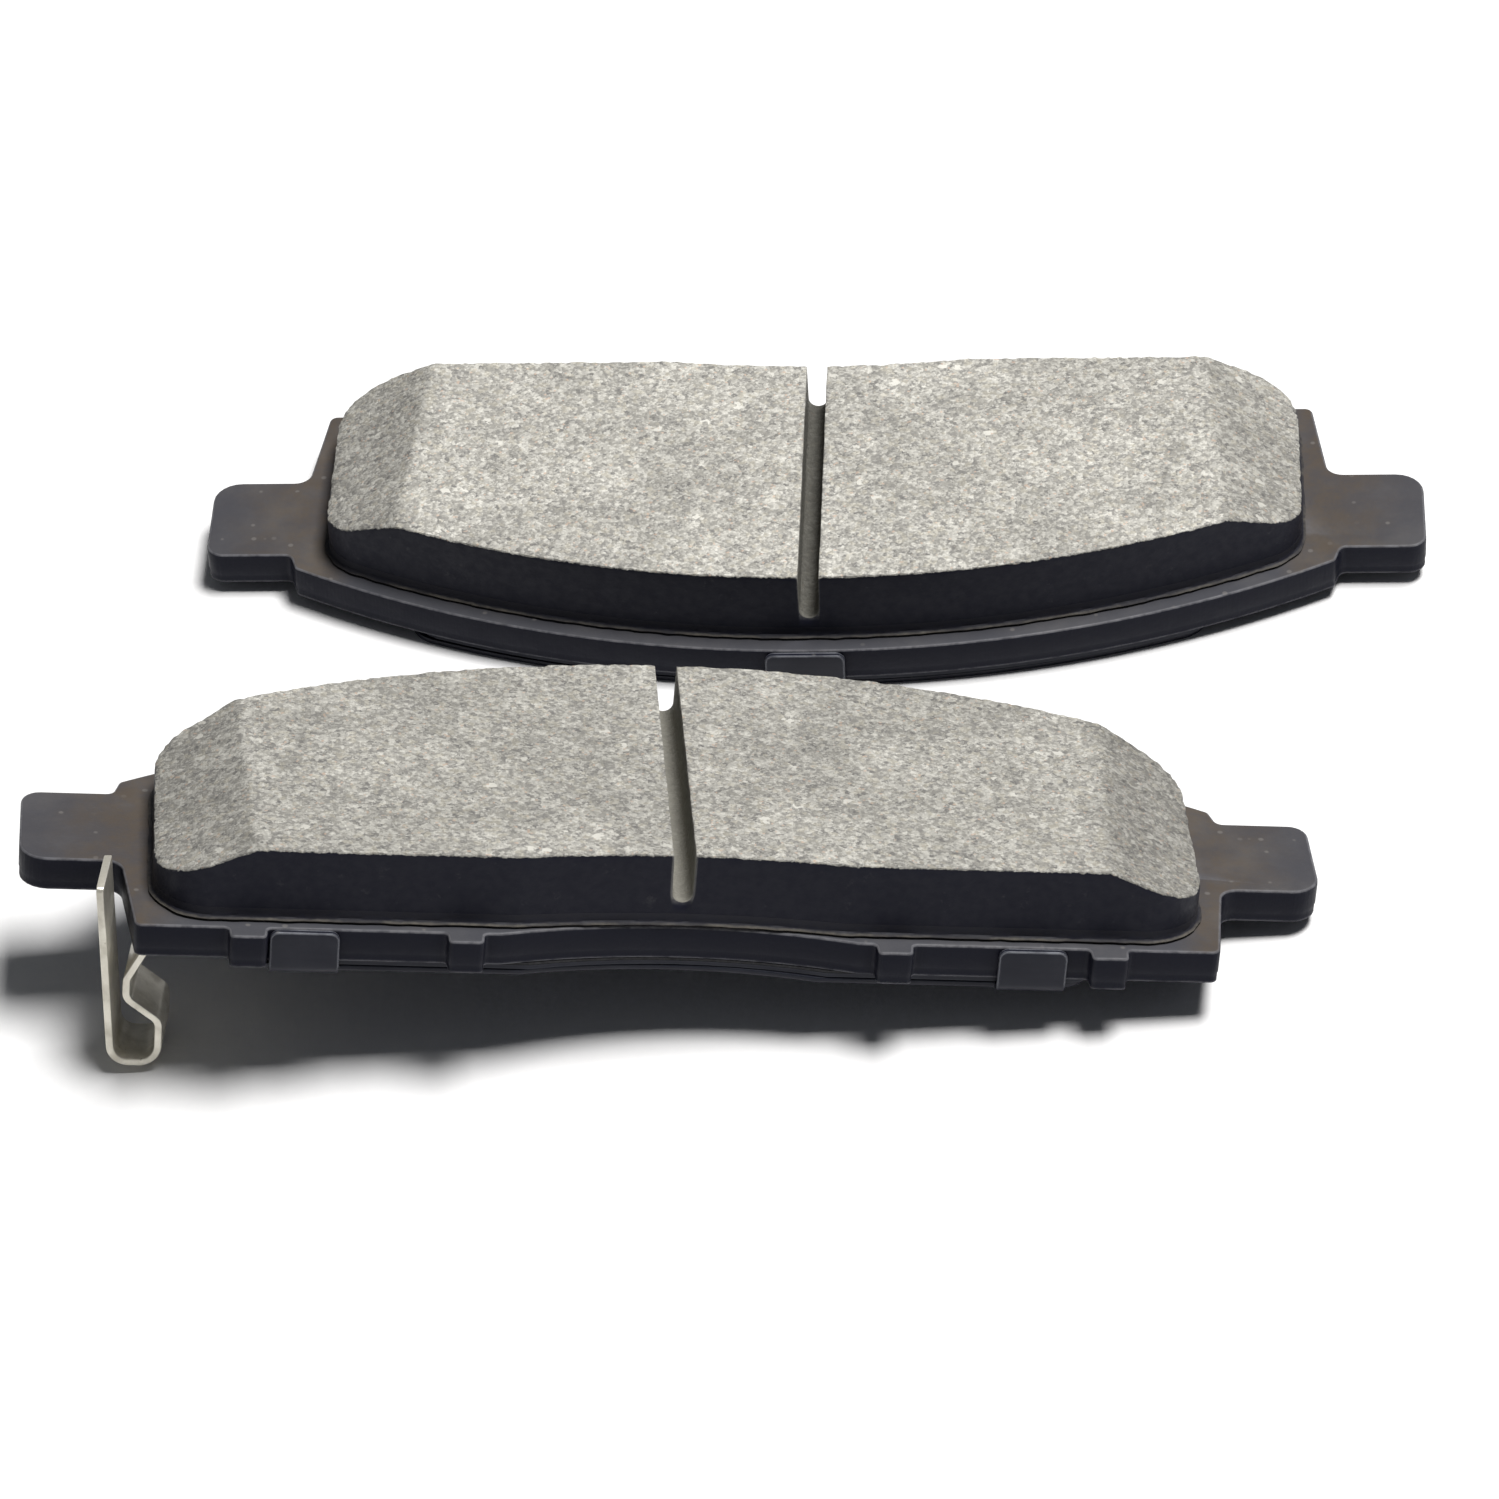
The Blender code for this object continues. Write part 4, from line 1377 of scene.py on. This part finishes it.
@dataclass
class BackingPlate(SubAssembly):
    """The stamped plate: a rolled upper edge, a sheared band, a torn band and a small burr below."""

    roll_in: float = 0.48
    roll_down: float = 0.48
    torn_from: float = -3.5
    torn_in: float = 0.10
    foot_in: float = 0.22
    border: float = 0.06
    peg_hole: float = 5.0
    rivet_hole: float = 2.5
    rivet_sink: float = 4.2
    rivet_sink_deep: float = 1.9

    def profile(self) -> list[Point]:
        """Inset and height pairs from the plate's back to its friction side."""
        bottom = SHAPE.under_plate
        pairs = [(self.foot_in + self.border, bottom), (self.foot_in, bottom)]
        pairs += [(self.foot_in * 0.35, bottom + 0.10), (self.torn_in, bottom + 0.35)]
        pairs += [(self.torn_in, self.torn_from - 0.25), (0.0, self.torn_from)]
        steps = 6
        for step in range(steps + 1):
            angle = math.radians(90.0 * step / steps)
            pairs.append((self.roll_in * (1 - math.cos(angle)), self.roll_down * (math.sin(angle) - 1)))
        return pairs + [(self.roll_in + self.border, 0.0)]

    def build(self) -> None:
        """Make the plate, with its keying holes and the inner pad's rivet hole."""
        outline = SHAPE.plate_outline()
        rings = [level(inset(outline, distance), height) for distance, height in self.profile()]
        mesh = solid(self.seat.node("stamped_plate"), 38.0, rings)
        below, above = SHAPE.under_plate - 1.0, 1.0
        hole = [(self.peg_hole, below), (self.peg_hole, above)]
        tools = [turned(hole, place, 48) for place in SHAPE.peg_places]
        if self.seat.pad is Pad.INNER:
            hole = [(self.rivet_hole, below), (self.rivet_hole, -self.rivet_sink_deep)]
            hole += [(self.rivet_sink, 0.0), (self.rivet_sink, above)]
            tools.append(turned(hole, SHAPE.rivet_place, 48))
        mesh = cut(mesh, solid("hole_tool", 30.0, *tools))
        self.place(mesh, self.seat.body, Slot.PLATE, self.seat.node("backing_plate"))

    def dress(self) -> None:
        """Give the plate its paint."""
        self.paint(PlatePaint())


@dataclass
class MouldedUnderlayer(SubAssembly):
    """The layer moulded under the block: pegs that key it to the plate, and a ragged flash at its foot."""

    foot: float = 0.35
    head: float = 1.88
    grow: float = 0.02
    flash: float = 0.62
    flash_thick: float = 0.14
    peg_radius: float = 4.6
    peg_deep: float = 4.5

    def build(self) -> None:
        """Make the underlayer."""
        outline = even_steps(SHAPE.friction_outline(), 0.8)
        seed = 5.1 if self.seat.pad is Pad.INNER else 8.9
        foot, thick = self.foot, self.flash_thick
        rims = []
        for grow, ragged, z in (
            (self.grow + self.flash, 0.20, foot),
            (self.grow + self.flash, 0.24, foot + thick * 0.6),
            (self.grow + self.flash * 0.45, 0.14, foot + thick),
            (self.grow + 0.05, 0.03, foot + thick * 2.6),
            (self.grow, 0.0, self.head - 0.6),
            (self.grow, 0.0, self.head),
        ):
            insets = []
            for x, y in outline:
                slow = ruffle(Vector((x, y, 0.0)), 2.4, seed)
                quick = ruffle(Vector((x, y, z)), 0.9, seed)
                insets.append(-grow - ragged * slow - 0.4 * ragged * quick)
            rims.append(level(inset(outline, insets), z))
        mesh = solid(self.seat.node("moulded_layer"), 40.0, rims)
        radius, deep = self.peg_radius, self.peg_deep
        peg = [(radius - 0.4, -deep), (radius, -deep + 0.5), (radius, 0.9)]
        pegs = [turned(peg, place, 40) for place in SHAPE.peg_places]
        mesh = cut(mesh, solid("peg_tool", 30.0, *pegs), "UNION")
        self.place(mesh, self.seat.body, Slot.UNDERLAYER, self.seat.node("underlayer"))

    def dress(self) -> None:
        """Give the layer its fibre and paint."""
        self.paint(MouldedFibre())


@dataclass
class TabbedShim(SubAssembly):
    """The sheet-steel shim over the damping shim, with two tabs at the inner edge and one at the outer."""

    thick: float = 0.8
    top: float = -6.2
    tab_clear: float = 0.25
    tab_bend: float = 1.1
    tab_top: float = -0.10
    tab_corner: float = 1.2
    edge_tab_x: float = 48.85
    edge_tab_wide: float = 9.3
    centre_tab_wide: float = 11.4
    edge_round: float = 0.16
    smooth: float = 35.0

    @property
    def shift(self) -> float:
        """How far the shim has slid along its pad."""
        return -1.4 if self.seat.pad is Pad.INNER else 0.7

    def tab_stations(self, middle_x: float, wide: float, edge_y: float, outward: int) -> list[Station]:
        """A tab's cross-sections, from inside the sheet round the bend to its rounded top.

        Args:
            middle_x: Where the tab's middle is along the pad.
            wide: Its width.
            edge_y: The plate's edge that it clips over.
            outward: The direction from the pad's middle to that edge, 1 or -1.

        Returns:
            The sections in order.
        """
        half = self.thick / 2
        wall = edge_y + outward * (self.tab_clear + half)
        radius = self.tab_bend + half
        sheet = self.top - half
        centre = (wall - outward * radius, sheet + radius)
        run = [(wall - outward * (radius + 4.5), sheet)]
        run += [(centre[0] + outward * x, centre[1] + z) for x, z in arc((0.0, 0.0), radius, -90.0, 0.0, 10)]
        top = self.tab_top
        run += [(wall, top - self.tab_corner)]
        for x, z in arc((0.0, 0.0), self.tab_corner, 0.0, 86.0, 8)[1:]:
            run.append((wall, top - self.tab_corner + z))
        across = Vector((1.0, 0.0, 0.0))
        stations = []
        for (y, z), along in headings(run):
            out = Vector((0.0, -along.y, along.x))
            half_wide = wide / 2 - clipped(self.tab_corner, z - (top - self.tab_corner))
            stations.append(Station(Vector((middle_x, y, z)), across, out, half_wide, half, self.edge_round))
        return stations

    def build(self) -> None:
        """Make the sheet and its tabs as one piece."""
        outline = SHAPE.shim_outline()
        low, edge = self.top - self.thick, self.edge_round
        rounding = ((2 * edge, 0.0), (edge, 0.0), (edge * 0.3, edge * 0.3), (0.0, edge))
        pairs = [(distance, low + up) for distance, up in rounding]
        pairs += [(distance, self.top - down) for distance, down in reversed(rounding)]
        rings = [level(inset(outline, distance), height) for distance, height in pairs]
        mesh = solid(self.seat.node("clip_shim"), self.smooth, rings)
        tabs = (
            (-self.edge_tab_x, self.edge_tab_wide, SHAPE.plate_inner, -1),
            (self.edge_tab_x, self.edge_tab_wide, SHAPE.plate_inner, -1),
            (0.0, self.centre_tab_wide, SHAPE.plate_top, 1),
        )
        for tab in tabs:
            rings = [station.ring() for station in self.tab_stations(*tab)]
            mesh = cut(mesh, solid("tab_tool", self.smooth, rings), "UNION")
        mesh.transform(Matrix.Translation((self.shift * MM, 0.0, 0.0)))
        mesh.shade_smooth()
        mesh.set_sharp_from_angle(angle=math.radians(self.smooth))
        self.place(mesh, self.seat.shim_body, Slot.SHIM, self.seat.node("tabbed_shim"))

    def dress(self) -> None:
        """Give the shim its coating."""
        self.paint(SheetCoating())


@dataclass
class HiddenLayers(SubAssembly):
    """The thin layers between the plate and its neighbours, shown as the CAD has them."""

    def build(self) -> None:
        """Take the CAD's own nodes."""
        for part in ("adhesive_film", "damping_shim_rubber", "damping_shim_core"):
            self.pieces.append(frame["nodes"][self.seat.node(part)])

    def dress(self) -> None:
        """Give each layer its own finish."""
        core = SheetCoating("core_coating", grounds=Grounds.OBJECT)
        self.paint(CuredAdhesive(grounds=Grounds.OBJECT), RubberSkin(grounds=Grounds.OBJECT), core)


@dataclass
class WearIndicator(SubAssembly):
    """The bent spring strip that sings on the disc when the block is worn, and the rivet that holds it."""

    thick: float = 1.0
    near_y: float = -19.4
    far_y: float = -10.3
    leg_x: float = -77.6
    tip: float = 2.0
    skew: float = 1.05
    loop_depth: float = 21.0
    loop_left_x: float = -75.5
    loop_right_x: float = -69.2
    shoulder_up: float = 6.6
    neck_x: float = -73.7
    neck_up: float = 10.2
    neck_top: float = 13.2
    foot_lead: float = 3.4
    foot_end_x: float = -60.8
    foot_gap: float = 0.1
    edge_round: float = 0.16
    tip_corner: float = 0.7
    hole_radius: float = 2.5
    rivet_radius: float = 2.2
    rivet_sink_radius: float = 3.9
    rivet_sink_deep: float = 1.6
    rivet_head_radius: float = 3.7
    rivet_head_thick: float = 1.4
    layer_gap: float = 0.05

    def centre_line(self) -> list[Point]:
        """The strip's middle line in (x, z), from the tip down the leg, round the loop to the foot."""
        bottom = SHAPE.under_plate - self.loop_depth + self.thick / 2
        foot = SHAPE.under_plate - self.foot_gap - self.thick / 2
        corners = [
            (self.leg_x, self.tip, 0.0),
            (self.loop_left_x, bottom, 2.6),
            (self.loop_right_x, bottom, 2.6),
            (self.loop_right_x, bottom + self.shoulder_up, 2.0),
            (self.neck_x, bottom + self.neck_up, 1.8),
            (self.neck_x, bottom + self.neck_top, 1.8),
            (self.neck_x + self.foot_lead, foot, 1.6),
            (self.foot_end_x, foot, 0.0),
        ]
        return rounded(corners, 10)

    def strip_stations(self) -> list[Station]:
        """The strip's cross-sections, narrowed at both ends where its corners are clipped round."""
        line = self.centre_line()
        start, end = line[0], line[-1]
        corner = self.tip_corner
        for step in (0.25, 0.6, 1.0):
            line.insert(len(line) - 1, (end[0] - corner * (1.0 - step) - 0.02, end[1]))
        line = [start] + [(start[0], start[1] - corner * step) for step in (0.15, 0.4, 1.0)] + line[1:]
        width = self.far_y - self.near_y
        middle_y = (self.far_y + self.near_y) / 2
        across = Vector((self.skew / width, 1.0, 0.0))
        stations = []
        for (x, z), along in headings(line):
            out = Vector((-along.y, 0.0, along.x))
            from_end = min((Vector((x, z)) - Vector(tip)).length for tip in (start, end))
            half_wide = width / 2 - clipped(corner, corner - from_end)
            middle = Vector((x + self.skew / 2, middle_y, z))
            stations.append(Station(middle, across, out, half_wide, self.thick / 2, self.edge_round))
        return stations

    def build(self) -> None:
        """Make the strip and its rivet."""
        mesh = solid("wear_strip", 42.0, [station.ring() for station in self.strip_stations()])
        low, high = SHAPE.under_plate - 3.0, SHAPE.under_plate + 1.0
        hole = turned([(self.hole_radius, low), (self.hole_radius, high)], SHAPE.rivet_place, 40)
        mesh = cut(mesh, solid("hole_tool", 30.0, hole))
        self.place(mesh, self.seat.body, Slot.SPRING, "wear_indicator")
        rivet = solid("wear_strip_rivet", 35.0, turned(self.rivet_profile(), SHAPE.rivet_place, 48))
        self.place(rivet, self.seat.body, Slot.RIVET, "wear_indicator_rivet")

    def rivet_profile(self) -> list[Point]:
        """The rivet's radius and height pairs: a sunk head, the shank and a domed head under the strip."""
        gap, shank, head = self.layer_gap, self.rivet_radius, self.rivet_head_radius
        seat = SHAPE.under_plate - gap * 3 - self.thick
        edge = seat - 0.12
        pairs = [(self.rivet_sink_radius, -gap), (shank, -self.rivet_sink_deep - gap)]
        pairs += [(shank, seat), (head - 0.1, seat), (head, edge)]
        for step in range(1, 8):
            angle = math.radians(82.0 * step / 7)
            drop = self.rivet_head_thick * math.sin(angle)
            pairs.append((head * math.cos(angle * 0.82), edge - drop * 0.9))
        return pairs

    def dress(self) -> None:
        """Give the strip bright plating and the rivet a duller one."""
        bright, dull, stain = (0.60, 0.58, 0.52), (0.42, 0.40, 0.35), (0.26, 0.22, 0.16)
        self.paint(PlatedSteel(), PlatedSteel("plated_rivet", bright, dull, stain, rough_high=0.52))


# ---- Studio ----


@dataclass
class Studio:
    """The pale floor, the soft light from above, and the camera."""

    floor_half: float = 4.0
    key_place: Corner = (0.44, 0.03, 1.66)
    key_size: Point = (0.80, 0.56)
    key_power: float = 41.0
    key_tone: Colour = (1.0, 0.99, 0.975)
    sky_tone: Colour = (0.90, 0.94, 1.0)
    sky_strength: float = 0.08
    lens: float = 180.12
    sensor: float = 36.0
    clip_end: float = 20.0
    eye: Corner = (-0.01, -825.96, 675.19)
    turn: Corner = (50.562, 2.064, -1.697)

    def floor(self) -> None:
        """Lay the floor."""
        bm = bmesh.new()
        bmesh.ops.create_grid(bm, x_segments=24, y_segments=24, size=self.floor_half)
        mesh = bpy.data.meshes.new("floor")
        bm.to_mesh(mesh)
        bm.free()
        mesh.materials.append(PaleBoard(grounds=Grounds.OBJECT).material())
        made = bpy.data.objects.new("floor", mesh)
        bpy.context.scene.collection.objects.link(made)
        log.info("floor: %.1f m across", 2 * self.floor_half)

    def light(self) -> None:
        """Hang the soft lamp over the pads and set the sky."""
        light = bpy.data.lights.new("key_softbox", "AREA")
        light.shape = "RECTANGLE"
        light.size, light.size_y = self.key_size
        light.energy = self.key_power
        light.color = self.key_tone
        made = bpy.data.objects.new("key_softbox", light)
        made.location = self.key_place
        made.rotation_euler = (-Vector(self.key_place)).to_track_quat("-Z", "Y").to_euler()
        bpy.context.scene.collection.objects.link(made)
        world = bpy.data.worlds.new("sky")
        world.use_nodes = True
        sky = world.node_tree.nodes["Background"]
        sky.inputs["Color"].default_value = (*self.sky_tone, 1.0)
        sky.inputs["Strength"].default_value = self.sky_strength
        bpy.context.scene.world = world
        bpy.context.scene.view_settings.view_transform = "Standard"
        log.info("key_softbox: %.0f W", self.key_power)

    def camera(self) -> None:
        """Set up the camera."""
        data = bpy.data.cameras.new("camera")
        data.lens = self.lens
        data.sensor_width = self.sensor
        data.clip_end = self.clip_end
        made = bpy.data.objects.new("camera", data)
        made.location = Vector(self.eye) * MM
        made.rotation_euler = [math.radians(angle) for angle in self.turn]
        bpy.context.scene.collection.objects.link(made)
        bpy.context.scene.camera = made

    def build(self) -> None:
        """Set up the whole studio."""
        self.floor()
        self.light()
        self.camera()


def main() -> None:
    """Build both pads and the studio, in order, and report each piece."""
    logging.basicConfig(level=logging.INFO, format="%(message)s")
    builders: tuple[Callable[[Seat], SubAssembly], ...] = (
        HiddenLayers,
        BackingPlate,
        MouldedUnderlayer,
        FrictionBlock,
        TabbedShim,
    )
    for pad in Pad:
        seat = Seat.of(pad)
        parts = [builder(seat) for builder in builders]
        if pad is Pad.INNER:
            parts.append(WearIndicator(seat))
        for part in parts:
            part.build()
            part.dress()
            part.report()
    Studio().build()


if __name__ == "__main__":
    main()
